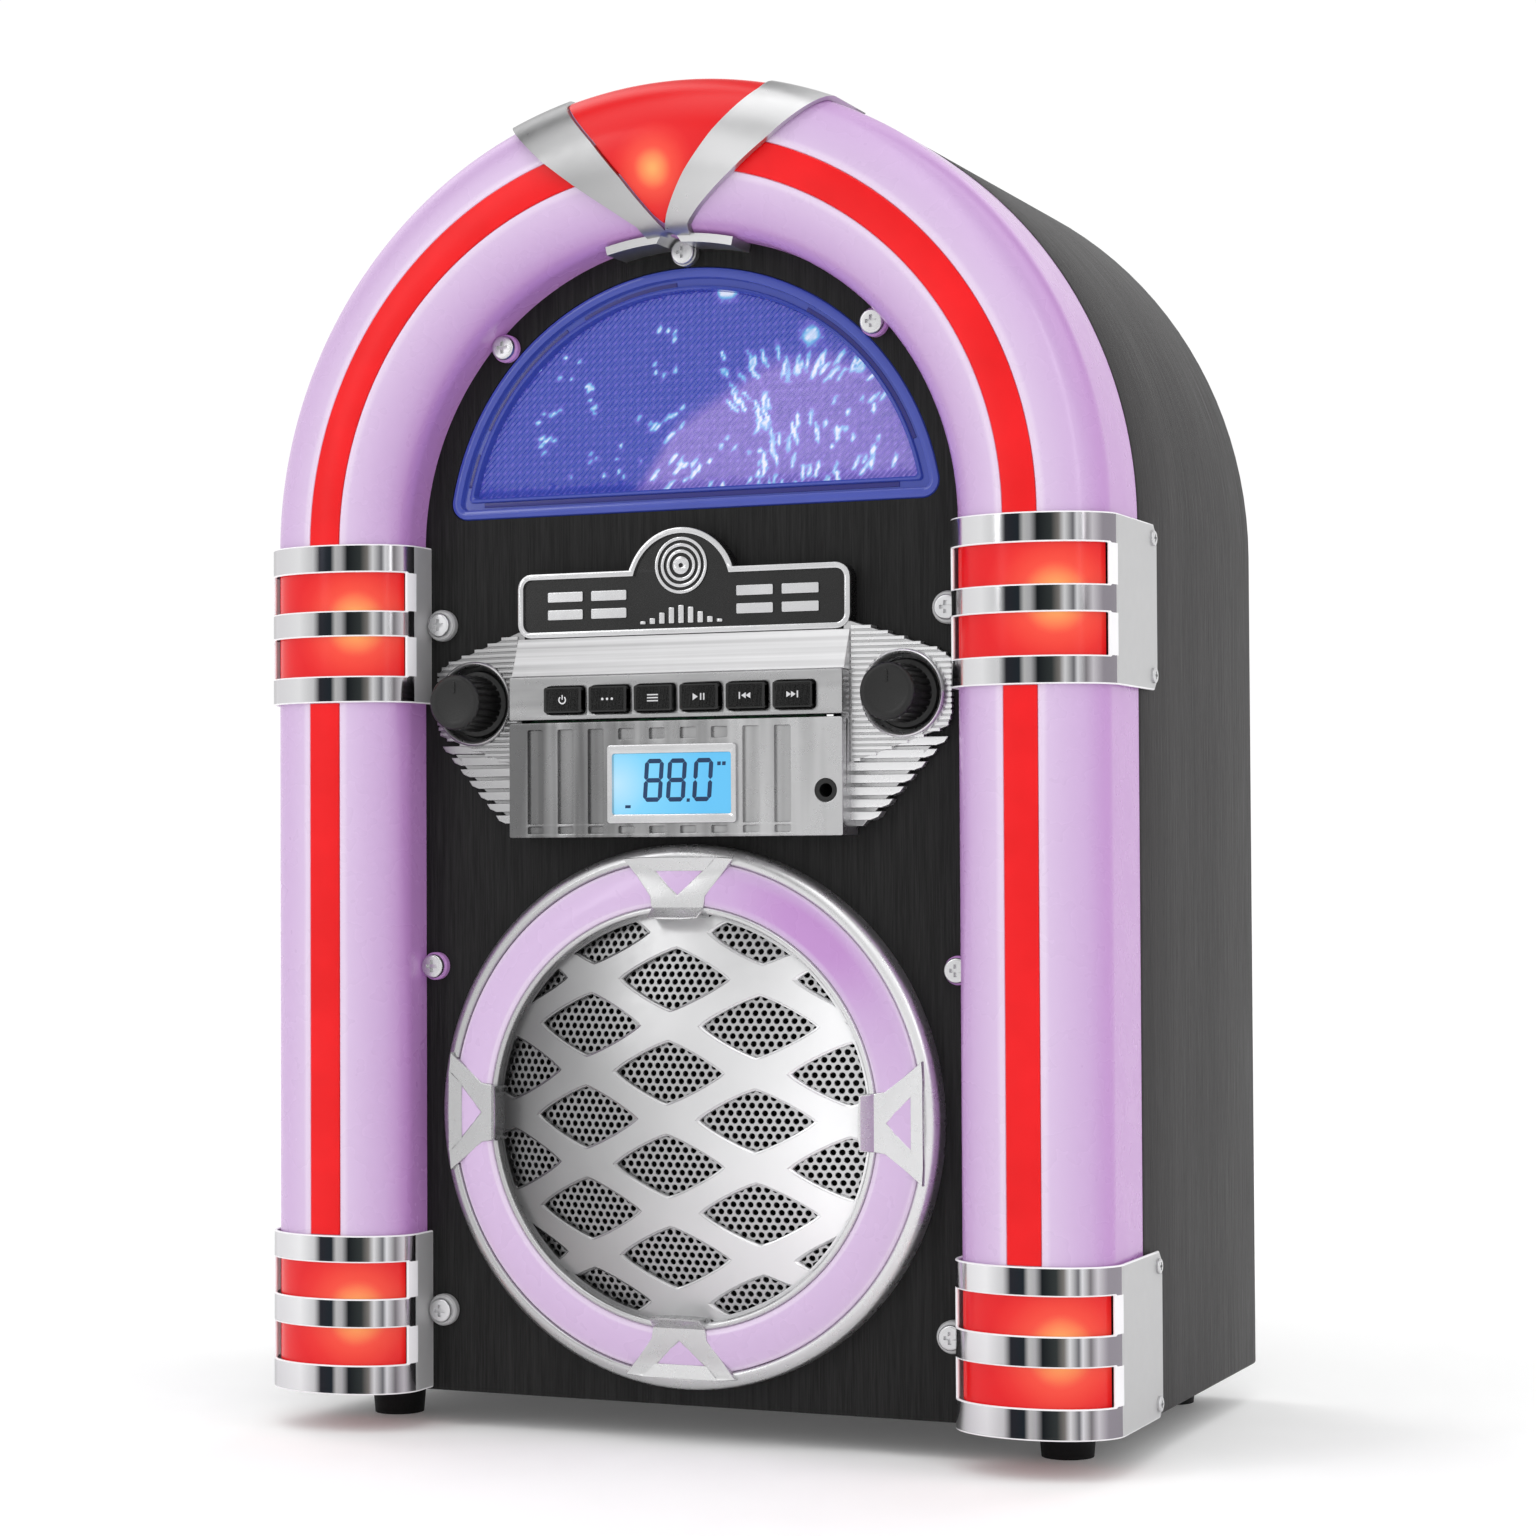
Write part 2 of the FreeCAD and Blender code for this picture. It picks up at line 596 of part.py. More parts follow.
def lcd_opening():
    width, height = LCD_WINDOW[0] + 1.2, LCD_WINDOW[1] + 1.2
    return box((-width / 2, width / 2), (-20, -5), (LCD_Z - height / 2, LCD_Z + height / 2))


def panel_channels():
    """Upright channels in the lower block, each with a short slot under it."""
    channels = []
    for x in (4.5, 13.5, 22.5, 31.5, 40.5):
        for side in (-x, x):
            if side == 40.5:
                continue
            span = (side - 2.25, side + 2.25)
            channels.append(box(span, (-20, PANEL_FRONT + 0.8), (164.6, 189.6)))
            channels.append(box(span, (-20, PANEL_FRONT + 1.5), (162.2, 163.8)))
    return channels


def button_places():
    return [BUTTON_GROUP_X + BUTTON_PITCH * (step - 2.5) for step in range(len(BUTTON_NAMES))]


def button_hole(x):
    half_width, half_height = BUTTON_WIDTH / 2 + BUTTON_GAP, BUTTON_HEIGHT / 2 + BUTTON_GAP
    return rounded_box((x - half_width, x + half_width), (-20, -5),
                       (KNOB_Z - half_height, KNOB_Z + half_height), 0.9)


def button(x):
    """A cap with a flange behind the panel and a stem that works its switch."""
    half_width, half_height = BUTTON_WIDTH / 2, BUTTON_HEIGHT / 2
    cap = rounded_box((x - half_width, x + half_width), (BUTTON_FRONT, -8.6),
                      (KNOB_Z - half_height, KNOB_Z + half_height), 0.7)
    flange = box((x - 6.2, x + 6.2), (-8.6, -7.6), (KNOB_Z - 4.3, KNOB_Z + 4.3))
    return joined(cap, flange, rod(x, KNOB_Z, 1.6, -7.6, -5.7))


def lcd_bezel():
    half_width, half_height = LCD_FRAME[0] / 2, LCD_FRAME[1] / 2
    frame = rounded_box((-half_width, half_width), (PANEL_FRONT - 1.0, PANEL_FRONT),
                        (LCD_Z - half_height, LCD_Z + half_height), 1.0)
    half_width, half_height = LCD_WINDOW[0] / 2, LCD_WINDOW[1] / 2
    return frame.cut(rounded_box((-half_width, half_width), (-20, 0),
                                 (LCD_Z - half_height, LCD_Z + half_height), 0.6))


def lcd_module():
    width, height = LCD_WINDOW[0] + 0.8, LCD_WINDOW[1] + 0.8
    glass = box((-width / 2, width / 2), (PANEL_FRONT + 0.1, -8.8),
                (LCD_Z - height / 2, LCD_Z + height / 2))
    backlight = box((-20.5, 20.5), (-8.8, -5.4), (LCD_Z - 10.5, LCD_Z + 10.5))
    return joined(glass, backlight)


def aux_jack():
    x, z = JACK
    barrel = rod(x, z, 3.0, PANEL_FRONT + 0.2, -8.8)
    body = box((x - 3.2, x + 3.2), (-8.8, 4.0), (z - 4.2, z + 4.2))
    bore = rod(x, z, JACK_BORE_RADIUS, PANEL_FRONT - 1, PANEL_FRONT + 0.2 + JACK_BORE_DEPTH)
    return joined(barrel, body).cut(bore)


def control_board():
    board = box((-46.4, 39.8), (-2.0, -0.4), (165.0, 202.6))
    switches = [box((x - 3.0, x + 3.0), (-4.6, -2.0), (KNOB_Z - 3.0, KNOB_Z + 3.0))
                for x in button_places()]
    display = box((-18, 18), (-5.4, -2.0), (LCD_Z - 8, LCD_Z + 8))
    return joined(board, display, *switches)


def rotary_control(x, bodysize):
    """A potentiometer or encoder: its bush stands in the panel's cup, its bore takes the shaft."""
    half = bodysize / 2
    case = box((x - half, x + half), (2.1, 9.6), (KNOB_Z - half, KNOB_Z + half))
    bush = rod(x, KNOB_Z, 3.5, -0.4, 2.1)
    return joined(case, bush).cut(rod(x, KNOB_Z, SHAFT_RADIUS + SHAFT_GAP, -2, 8.6))


def rotary_shaft(x):
    """The shaft turns in the bush and is pressed into the knob."""
    return rod(x, KNOB_Z, SHAFT_RADIUS, -12.0, 8.2)


def knob(x):
    """A round grip with shallow flutes on a wider skirt, and a pointer slot in its face."""
    skirt = Part.makeCone(KNOB_SKIRT_RADIUS, KNOB_SKIRT_RADIUS - 0.5, 1.7, Vector(x, -1.0, KNOB_Z),
                          Vector(0, -1, 0))
    grip = rod(x, KNOB_Z, KNOB_RADIUS, KNOB_FRONT + 0.8, -2.7)
    face = Part.makeCone(KNOB_RADIUS, KNOB_RADIUS - 0.8, 0.8, Vector(x, KNOB_FRONT + 0.8, KNOB_Z),
                         Vector(0, -1, 0))
    flutes = []
    for step in range(24):
        flute = rod(x, KNOB_Z + KNOB_RADIUS + 0.25, 0.65, KNOB_FRONT + 1.6, -3.4)
        flute.rotate(Vector(x, 0, KNOB_Z), Y_AXIS, step * 15)
        flutes.append(flute)
    pointer = box((x - 0.4, x + 0.4), (KNOB_FRONT - 1, KNOB_FRONT + 0.35), (KNOB_Z + 2.5, KNOB_Z + 6.0))
    bore = rod(x, KNOB_Z, SHAFT_RADIUS, -12.0, 0)
    return joined(skirt, grip, face).cut(flutes + [pointer, bore])


# ---------------------------------------------------------------- loudspeaker

def revolved(profile):
    """A profile of (radius, y) points turned about the loudspeaker's axis."""
    points = [Vector(radius, y, SPEAKER_Z) for radius, y in profile]
    face = Part.Face(Part.makePolygon(points + points[:1]))
    return face.revolve(Vector(0, 0, SPEAKER_Z), Y_AXIS, 360)


def spherical_cap(apex, thickness, radius):
    """A shallow dome with the grille's curvature, `thickness` deep, cut to a round outline."""
    centre = Vector(0, LATTICE_APEX + LATTICE_SPHERE, SPEAKER_Z)
    shift = apex - LATTICE_APEX
    outer = Part.makeSphere(LATTICE_SPHERE - shift, centre)
    inner = Part.makeSphere(LATTICE_SPHERE - shift - thickness, centre)
    return rod(0, SPEAKER_Z, radius, -30, 5).common(outer).cut(inner)


def diamond(x, z, y0, y1):
    half_width, half_height = DIAMOND_HALF
    corners = ((half_width, 0), (0, half_height), (-half_width, 0), (0, -half_height))
    solid = xz_prism([(x + u, z + w) for u, w in corners], y0, y1)
    edges = [edge for edge in solid.Edges if runs_along_y(edge, y1 - y0)]
    return solid.makeFillet(1.6, edges)


def diamonds():
    cuts = []
    for column_index in range(-2, 3):
        offset = 0.0 if column_index % 2 else DIAMOND_PITCH_Z / 2
        for row in range(-3, 4):
            x = column_index * DIAMOND_PITCH_X / 2
            z = row * DIAMOND_PITCH_Z + offset
            if math.hypot(x, z) < 60:
                cuts.append(diamond(x, SPEAKER_Z + z, -30, 5))
    return Part.Compound(cuts).common(rod(0, SPEAKER_Z, GRILLE_INNER - 1.5, -31, 6))


def bridge():
    """A V-shaped clasp at the top of the ring, joining its outer ring to the lattice."""
    outline = [(-16.5, 68.4), (-7.8, 58.0), (-7.5, 52.5), (7.5, 52.5), (7.8, 58.0), (16.5, 68.4)]
    opening = [(0, 58.6), (8.6, 69.0), (-8.6, 69.0)]
    slope = [(-12.4, 52.4), (-8.0, 68.6), (-5.2, 68.6), (-5.2, 67.0), (-6.6, 67.0), (-7.15, 64.9),
             (-7.85, 61.6), (-8.2, 58.3), (-8.2, 55.2), (-5.2, 55.2), (-5.2, 52.4)]
    raised = xz_prism([(u, SPEAKER_Z + r) for u, r in outline], -14, -4)
    raised = raised.common(yz_prism([(y, SPEAKER_Z + r) for y, r in slope], -20, 20))
    return raised.cut(xz_prism([(u, SPEAKER_Z + r) for u, r in opening], -15, 0))


def grille_frame():
    ring = revolved([(RING_INNER, 0), (RING_INNER, -6.0), (RING_INNER + 1.2, -6.6),
                     (RING_OUTER - 1.4, -5.6), (RING_OUTER, -4.2), (RING_OUTER, 0)])
    wall = revolved([(GRILLE_INNER, 0), (GRILLE_INNER, -7.2), (GRILLE_INNER + 1.2, -8.6),
                     (DIFFUSER_INNER, -8.6), (DIFFUSER_INNER, 0)])
    lattice = spherical_cap(LATTICE_APEX, LATTICE_THICKNESS, GRILLE_INNER + 0.6).cut(diamonds())
    clasps = []
    for angle in (0, 90, 180, 270):
        clasp = bridge()
        clasp.rotate(Vector(0, 0, SPEAKER_Z), Y_AXIS, angle)
        clasps.append(clasp)
    return joined(lattice, wall, ring, *clasps)


def grille_mesh():
    return spherical_cap(LATTICE_APEX + LATTICE_THICKNESS + 0.1, 0.8, GRILLE_INNER - 0.2)


def ring_diffuser():
    inner, outer = DIFFUSER_INNER + 0.1, RING_INNER - 0.1
    return revolved([(inner, 0), (inner, -7.9), (inner + 2.2, -8.0), (inner + 5.5, -7.7),
                     (outer - 2.0, -7.0), (outer, -6.4), (outer, 0), (outer - 1.6, 0),
                     (outer - 1.6, -5.2), (inner + 5.5, -6.0), (inner + 1.6, -6.4), (inner + 1.6, 0)])


def speaker_screw_places():
    return [(x, SPEAKER_Z + z) for x in (-43.0, 43.0) for z in (-43.0, 43.0)]


def speaker_basket():
    """A pressed frame behind the baffle, with four windows and a seat for the magnet."""
    y0 = BOARD + 0.05
    shell = revolved([(44.5, y0), (64.0, y0), (64.0, y0 + 1.4), (46.0, y0 + 1.4), (24.0, y0 + 24.0),
                      (24.0, y0 + 27.0), (11.5, y0 + 27.0), (11.5, y0 + 25.4), (22.4, y0 + 25.4),
                      (22.4, y0 + 23.2)])
    window = box((-9, 9), (y0 + 4, y0 + 20), (0, 60))
    windows = []
    for angle in (0, 90, 180, 270):
        opening = placed(window, 0, 0, SPEAKER_Z)
        opening.rotate(Vector(0, 0, SPEAKER_Z), Y_AXIS, angle)
        windows.append(opening)
    holes = [rod(x, z, 1.5, 0, 20) for x, z in speaker_screw_places()]
    return shell.cut(windows + holes)


def speaker_magnet():
    y0 = BOARD + 27.1
    magnet = revolved([(11.6, y0), (29.0, y0), (29.0, y0 + 13.0), (11.6, y0 + 13.0)])
    yoke = revolved([(0, y0 + 13.0), (27.0, y0 + 13.0), (27.0, y0 + 16.0), (0, y0 + 16.0)])
    pole = rod(0, SPEAKER_Z, 9.0, y0, y0 + 14.0)
    return joined(magnet, yoke, pole)


def speaker_surround():
    """The rubber roll between basket and cone, glued to the basket's flange."""
    y0 = BOARD + 0.05
    return revolved([(44.6, y0), (46.6, y0), (46.6, y0 - 1.4), (43.6, y0 - 2.8),
                     (40.8, y0 - 1.6), (40.8, y0 - 0.4), (43.6, y0 - 1.6)])


def speaker_cone():
    """Cone, dust cap and voice-coil former, which move together."""
    y0 = BOARD + 1.4
    return revolved([(39.9, y0 - 2.4), (39.9, y0 - 1.2), (12.4, y0 + 20.6), (10.6, y0 + 20.6),
                     (10.6, y0 + 31.0), (9.9, y0 + 31.0), (9.9, y0 + 17.0), (0, y0 + 13.4),
                     (0, y0 + 12.2), (12.8, y0 + 16.8)])


# ---------------------------------------------------------------- electronics and rear fittings

def led_boards():
    """Strips of lamps inside the columns, the arch, the bands and the ring."""
    strips = []
    for low, high in ((54.5, 197.0), (MID_BAND[0] + 4, MID_BAND[1] - 4), (14.0, 50.0)):
        strip = box((TUBE_AXIS - 5, TUBE_AXIS + 5), (-1.7, -0.1), (low, high))
        count = max(2, int((high - low) / 16))
        step = (high - low) / count
        lamps = [box((TUBE_AXIS - 1.8, TUBE_AXIS + 1.8), (-3.2, -1.7), (z - 1.8, z + 1.8))
                 for z in [low + step * (index + 0.5) for index in range(count)]]
        strips.append(joined(strip, *lamps))
    base = [Vector(x, y, 0) for x, y in ((95, -1.7), (105, -1.7), (105, -0.1), (95, -0.1))]
    arc = arch(Part.Face(Part.makePolygon(base + base[:1])), 4, 88)
    lamp = box((TUBE_AXIS - 1.8, TUBE_AXIS + 1.8), (-3.2, -1.7), (ARCH_Z - 1.8, ARCH_Z + 1.8))
    strips.append(joined(arc, *[swung(lamp, angle) for angle in range(10, 90, 12)]))
    ring = revolved([(59.0, -0.1), (64.5, -0.1), (64.5, -1.7), (59.0, -1.7)])
    return Part.Compound(both_sides(strips) + [ring])


def main_board():
    y1 = CABINET_REAR - REAR_INSET - REAR_PANEL_THICKNESS - 6
    board = box((-42, 42), (y1 - 1.6, y1), (88, 148))
    tall = [box((-30, -8), (y1 - 6, y1 - 1.6), (120, 140)), box((5, 19), (y1 - 4, y1 - 1.6), (100, 114)),
            box((24, 38), (y1 - 12, y1 - 1.6), (128, 134))]
    cans = [rod(x, 98, 5, y1 - 13, y1 - 1.6) for x in (-32, -18)]
    legs = [rod(x, z, 3, y1, y1 + 6) for x in (-38, 38) for z in (92, 144)]
    return joined(board, *tall, *cans, *legs)


def connector_plate():
    """A plastic plate let into the rear panel, that holds the power inlet and aerial grommet."""
    y1 = CABINET_REAR - REAR_INSET
    lip = rounded_box((-31, 31), (y1, y1 + 1.2), (42, 78), 3.0)
    body = box((-26.8, 26.8), (y1 - REAR_PANEL_THICKNESS, y1), (46.2, 73.8))
    hollow = box((-25, 25), (y1 - REAR_PANEL_THICKNESS - 1, y1 - 1.5), (48, 72))
    holes = [rod(-12, 60, 5.6, y1 - 9, y1 + 3), rod(12, 60, 4.1, y1 - 9, y1 + 3)]
    return joined(lip, body).cut([hollow] + holes)


def dc_inlet():
    y1 = CABINET_REAR - REAR_INSET + 1.1
    barrel = rod(-12, 60, 5.5, y1 - 4, y1)
    body = box((-19, -5), (y1 - 13.0, y1 - 4), (54, 66))
    socket = rod(-12, 60, 3.1, y1 - 10.0, y1 + 1)
    pin = rod(-12, 60, 1.0, y1 - 10.5, y1 - 1.0)
    return joined(barrel, body).cut(socket).fuse(pin)


def antenna_grommet():
    y1 = CABINET_REAR - REAR_INSET
    collar = revolved_at(12, 60, [(1.1, y1 + 1.9), (3.4, y1 + 1.9), (5.2, y1 + 1.25), (4.05, y1 + 1.2),
                                  (4.05, y1 - 1.55), (4.8, y1 - 1.6), (4.8, y1 - 3.0), (1.1, y1 - 3.0)])
    return collar


def revolved_at(x, z, profile):
    turned = revolved(profile)
    turned.translate(Vector(x, 0, z - SPEAKER_Z))
    return turned


# ---------------------------------------------------------------- fasteners

def trim_screw_places():
    """Where the ears of the tubes, bands and crown are screwed to the baffle."""
    angle = math.radians(ARCH_EAR_ANGLE)
    arch_ear = (ARCH_EAR_RADIUS * math.cos(angle), ARCH_Z + ARCH_EAR_RADIUS * math.sin(angle))
    right = [COLUMN_EAR, arch_ear, (BAND_EAR_X, band_z(MID_BAND, 0.5)), (BAND_EAR_X, band_z(BASE_BAND, 0.5))]
    return right + [(-x, z) for x, z in right] + [(0, CROWN_EAR_Z)]


def trim_screws():
    model = screw(3.3, 1.5, 1.4, EAR_THICKNESS + 7.0)
    return Part.Compound([placed(model, x, -EAR_THICKNESS, z) for x, z in trim_screw_places()])


def band_side_screws():
    model = screw(2.0, 0.9, 1.0, 6.5)
    model.rotate(Vector(0, 0, 0), Z_AXIS, 90)
    right = [placed(model, BAND_HALF_WIDTH + TUBE_AXIS, y, z) for y, z in side_screw_places()]
    return Part.Compound(both_sides(right))


def wood_screws():
    """Screws of the rear panel, the loudspeaker and the feet."""
    model = screw(3.2, 1.6, 1.4, 12.0)
    model.rotate(Vector(0, 0, 0), Z_AXIS, 180)
    rear = [placed(model, x, CABINET_REAR - REAR_INSET, z) for x, z in rear_screw_places()]
    short = screw(3.2, 1.6, 1.4, 7.0)
    short.rotate(Vector(0, 0, 0), Z_AXIS, 180)
    speaker = [placed(short, x, BOARD + 1.5, z) for x, z in speaker_screw_places()]
    upright = screw(3.2, 1.6, 1.4, 12.0)
    upright.rotate(Vector(0, 0, 0), Vector(1, 0, 0), 90)
    feet = [placed(upright, x, y, 4.0) for x, y in foot_places()]
    return Part.Compound(rear + speaker + feet)


# ---------------------------------------------------------------- all sub-parts

def sided(name, shape):
    return {name + "_right": shape, name + "_left": mirrored(shape)}


def all_parts():
    parts = {"cabinet_shell": cabinet_shell(), "front_baffle": front_baffle(),
             "rear_panel": rear_panel(), "corner_cleats": corner_cleats(), "rubber_feet": rubber_feet()}
    parts.update(sided("column_tube", column_tube()))
    parts.update(sided("arch_tube", arch_tube()))
    parts.update(sided("column_stripe", column_stripe()))
    parts.update(sided("arch_stripe", arch_stripe()))
    parts.update(sided("mid_band", band(MID_BAND, MID_WINDOWS)))
    parts.update(sided("base_band", base_band()))
    parts.update(sided("mid_lens", band_lens(MID_WINDOWS)))
    parts.update(sided("base_lens", band_lens(BASE_WINDOWS)))
    for make in (crown_trim, crown_lens, dome_lens, dome_prism_sheet, dome_led_board, nameplate,
                 nameplate_trim, control_panel, lcd_bezel, lcd_module, aux_jack,
                 control_board, grille_frame, grille_mesh, ring_diffuser, speaker_basket,
                 speaker_magnet, speaker_surround, speaker_cone, led_boards, main_board,
                 connector_plate, dc_inlet, antenna_grommet, trim_screws, band_side_screws,
                 wood_screws):
        parts[make.__name__] = make()
    for name, x in zip(BUTTON_NAMES, button_places()):
        parts["button_" + name] = button(x)
    for name, x, size in (("volume", -KNOB_X, 16.0), ("tuning", KNOB_X, 14.0)):
        parts[name + "_knob"] = knob(x)
        parts[name + "_shaft"] = rotary_shaft(x)
        parts[name + "_control"] = rotary_control(x, size)
    return parts


def main():
    os.makedirs("parts", exist_ok=True)
    for name, shape in all_parts().items():
        shape.translate(CENTRING)
        shape.exportStep("parts/" + name + ".step")
        if not shape.isValid() or shape.Volume <= 0:
            print("not a sound solid:", name)


main()
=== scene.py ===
import math
import random

import bmesh
import bpy
from mathutils import Matrix, Vector
from mathutils.geometry import tessellate_polygon


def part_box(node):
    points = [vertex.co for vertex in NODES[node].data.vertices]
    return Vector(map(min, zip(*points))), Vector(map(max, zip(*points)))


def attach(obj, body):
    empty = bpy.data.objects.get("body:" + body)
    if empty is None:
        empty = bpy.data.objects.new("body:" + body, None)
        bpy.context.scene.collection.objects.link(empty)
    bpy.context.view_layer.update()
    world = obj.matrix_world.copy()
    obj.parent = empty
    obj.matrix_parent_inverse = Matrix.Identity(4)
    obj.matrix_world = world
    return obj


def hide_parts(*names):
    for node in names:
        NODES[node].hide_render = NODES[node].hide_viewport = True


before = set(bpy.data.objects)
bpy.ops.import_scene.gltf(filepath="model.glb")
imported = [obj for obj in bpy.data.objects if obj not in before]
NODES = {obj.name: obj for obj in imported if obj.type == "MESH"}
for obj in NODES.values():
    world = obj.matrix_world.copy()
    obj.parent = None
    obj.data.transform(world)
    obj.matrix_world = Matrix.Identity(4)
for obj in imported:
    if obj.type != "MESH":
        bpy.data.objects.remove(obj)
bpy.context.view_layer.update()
MM = 0.001


# ---------------------------------------------------------------- places, from the CAD nodes' boxes

class Box:
    """A CAD node's box at rest."""

    def __init__(self, node):
        self.low, self.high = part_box(node)
        self.mid = (self.low + self.high) / 2
        self.size = self.high - self.low


SHELL = Box("cabinet_shell")
BAFFLE = Box("front_baffle")
STRIPE = Box("column_stripe_right")
COLUMN = Box("column_tube_right")
MID_BAND = Box("mid_band_right")
BASE_BAND = Box("base_band_right")
RING = Box("grille_frame")
LCD = Box("lcd_module")

HALF_WIDTH = SHELL.high.x
ARCH_Z = SHELL.high.z - HALF_WIDTH
BAFFLE_Y = BAFFLE.low.y
TUBE_X = STRIPE.mid.x
TUBE_HALF = COLUMN.high.x - TUBE_X
TUBE_FRONT = COLUMN.low.y
TUBE_BACK = COLUMN.high.y
SHOULDER = 7.9 * MM
SHOULDER_Y = BAFFLE_Y - SHOULDER
TUBE_DEPTH = SHOULDER_Y - TUBE_FRONT
STRIPE_HALF = STRIPE.size.x / 2
BAND_HALF = MID_BAND.high.x - TUBE_X
BAND_DEPTH = SHOULDER_Y - MID_BAND.low.y
SPEAKER = Vector((0, BAFFLE_Y, RING.mid.z))


# ---------------------------------------------------------------- shader building

class Nodes:
    """Short ways to add and join a node tree's nodes."""

    def __init__(self, tree):
        self.tree = tree

    def add(self, kind, **settings):
        node = self.tree.nodes.new(kind)
        for key, value in settings.items():
            setattr(node, key, value)
        return node

    def link(self, source, target):
        self.tree.links.new(source, target)

    def set(self, target, value):
        """Sets an input, or links it when the value is another node's output."""
        if isinstance(value, bpy.types.NodeSocket):
            self.link(value, target)
        else:
            target.default_value = value

    def feed(self, node, **sockets):
        """Sets a node's inputs by name."""
        for name, value in sockets.items():
            self.set(node.inputs[name.replace("_", " ")], value)
        return node

    def math(self, operation, first, second=0.0, third=0.0):
        node = self.add("ShaderNodeMath", operation=operation)
        for index, value in enumerate((first, second, third)):
            self.set(node.inputs[index], value)
        return node.outputs[0]


class Shader(Nodes):
    """A node material with one Principled surface."""

    def __init__(self, name, color, roughness, metallic=0.0, **sockets):
        self.material = bpy.data.materials.new(name)
        self.material.use_nodes = True
        super().__init__(self.material.node_tree)
        self.surface = self.tree.nodes["Principled BSDF"]
        self.feed(self.surface, Base_Color=(*color, 1.0), Roughness=roughness, Metallic=metallic, **sockets)
        self.coordinates = self.add("ShaderNodeTexCoord").outputs["Object"]

    def put(self, socket, value):
        self.set(self.surface.inputs[socket], value)

    def stretched(self, scale, source=None):
        mapping = self.add("ShaderNodeMapping")
        self.feed(mapping, Scale=scale, Vector=source or self.coordinates)
        return mapping.outputs["Vector"]

    def noise(self, scale, detail=3.0, vector=None, roughness=0.55):
        node = self.add("ShaderNodeTexNoise")
        self.feed(node, Vector=vector or self.coordinates, Scale=scale, Detail=detail,
                  Roughness=roughness)
        return node.outputs["Fac"]

    def ramp(self, value, stops):
        """A colour ramp; stops are (position, grey or colour)."""
        node = self.add("ShaderNodeValToRGB")
        while len(node.color_ramp.elements) < len(stops):
            node.color_ramp.elements.new(0.5)
        for element, (position, color) in zip(node.color_ramp.elements, stops):
            element.position = position
            element.color = (color, color, color, 1) if isinstance(color, float) else (*color, 1)
        self.link(value, node.inputs["Fac"])
        return node.outputs["Color"]

    def attribute(self, name):
        return self.add("ShaderNodeAttribute", attribute_name=name).outputs["Fac"]

    def distance(self, point):
        """Distance from a point in the row frame."""
        node = self.add("ShaderNodeVectorMath", operation="DISTANCE")
        self.link(self.coordinates, node.inputs[0])
        node.inputs[1].default_value = point
        return node.outputs["Value"]

    def color(self, value, stops):
        self.put("Base Color", self.ramp(value, stops))

    def rough(self, value, low, high):
        self.put("Roughness", self.ramp(value, ((0.25, low), (0.75, high))))

    def bump(self, height, strength, distance):
        node = self.feed(self.add("ShaderNodeBump"), Strength=strength, Distance=distance, Height=height)
        self.put("Normal", node.outputs["Normal"])

    def glow(self, color, strength):
        """Light given off: a colour or a linked colour, at a constant strength."""
        linked = isinstance(color, bpy.types.NodeSocket)
        self.put("Emission Color", color if linked else (*color, 1.0))
        self.put("Emission Strength", strength)


def srgb(red, green, blue):
    """A display colour, 0 to 255, as the linear colour that shaders use."""
    def linear(value):
        value /= 255
        return value / 12.92 if value <= 0.04045 else ((value + 0.055) / 1.055) ** 2.4
    return tuple(linear(value) for value in (red, green, blue))


# ---------------------------------------------------------------- materials

def wood_grain(name, dark, light, along):
    """Embossed wood-grain vinyl; `along` is 1 in the direction that the grain runs."""
    shader = Shader(name, dark, 0.5)
    streaks = shader.noise(1.0, 4.0, shader.stretched([30 if axis else 900 for axis in along]))
    pores = shader.noise(1.0, 2.0, shader.stretched([90 if axis else 3800 for axis in along]))
    blend = shader.math("MULTIPLY_ADD", pores, 0.5, shader.math("MULTIPLY", streaks, 0.5))
    shader.put("Specular IOR Level", 0.14)
    shader.color(blend, ((0.40, dark), (0.62, light)))
    shader.rough(streaks, 0.42, 0.6)
    shader.bump(blend, 0.5, 0.0004)
    return shader.material


def around_grain(name, dark, light):
    """The same vinyl on the wrap: the grain follows the wall round the arch, from its map."""
    shader = Shader(name, dark, 0.5)
    shader.coordinates = shader.add("ShaderNodeUVMap", uv_map="wrap").outputs["UV"]
    streaks = shader.noise(1.0, 4.0, shader.stretched((26, 950, 1)))
    pores = shader.noise(1.0, 2.0, shader.stretched((90, 3600, 1)))
    broad = shader.noise(1.0, 2.0, shader.stretched((6, 110, 1)))
    blend = shader.math("MULTIPLY_ADD", pores, 0.45, shader.math("MULTIPLY", streaks, 0.35))
    blend = shader.math("MULTIPLY_ADD", broad, 0.2, blend)
    shader.put("Specular IOR Level", 0.2)
    shader.color(blend, ((0.40, dark), (0.62, light)))
    shader.rough(streaks, 0.42, 0.62)
    shader.bump(blend, 0.55, 0.0005)
    return shader.material


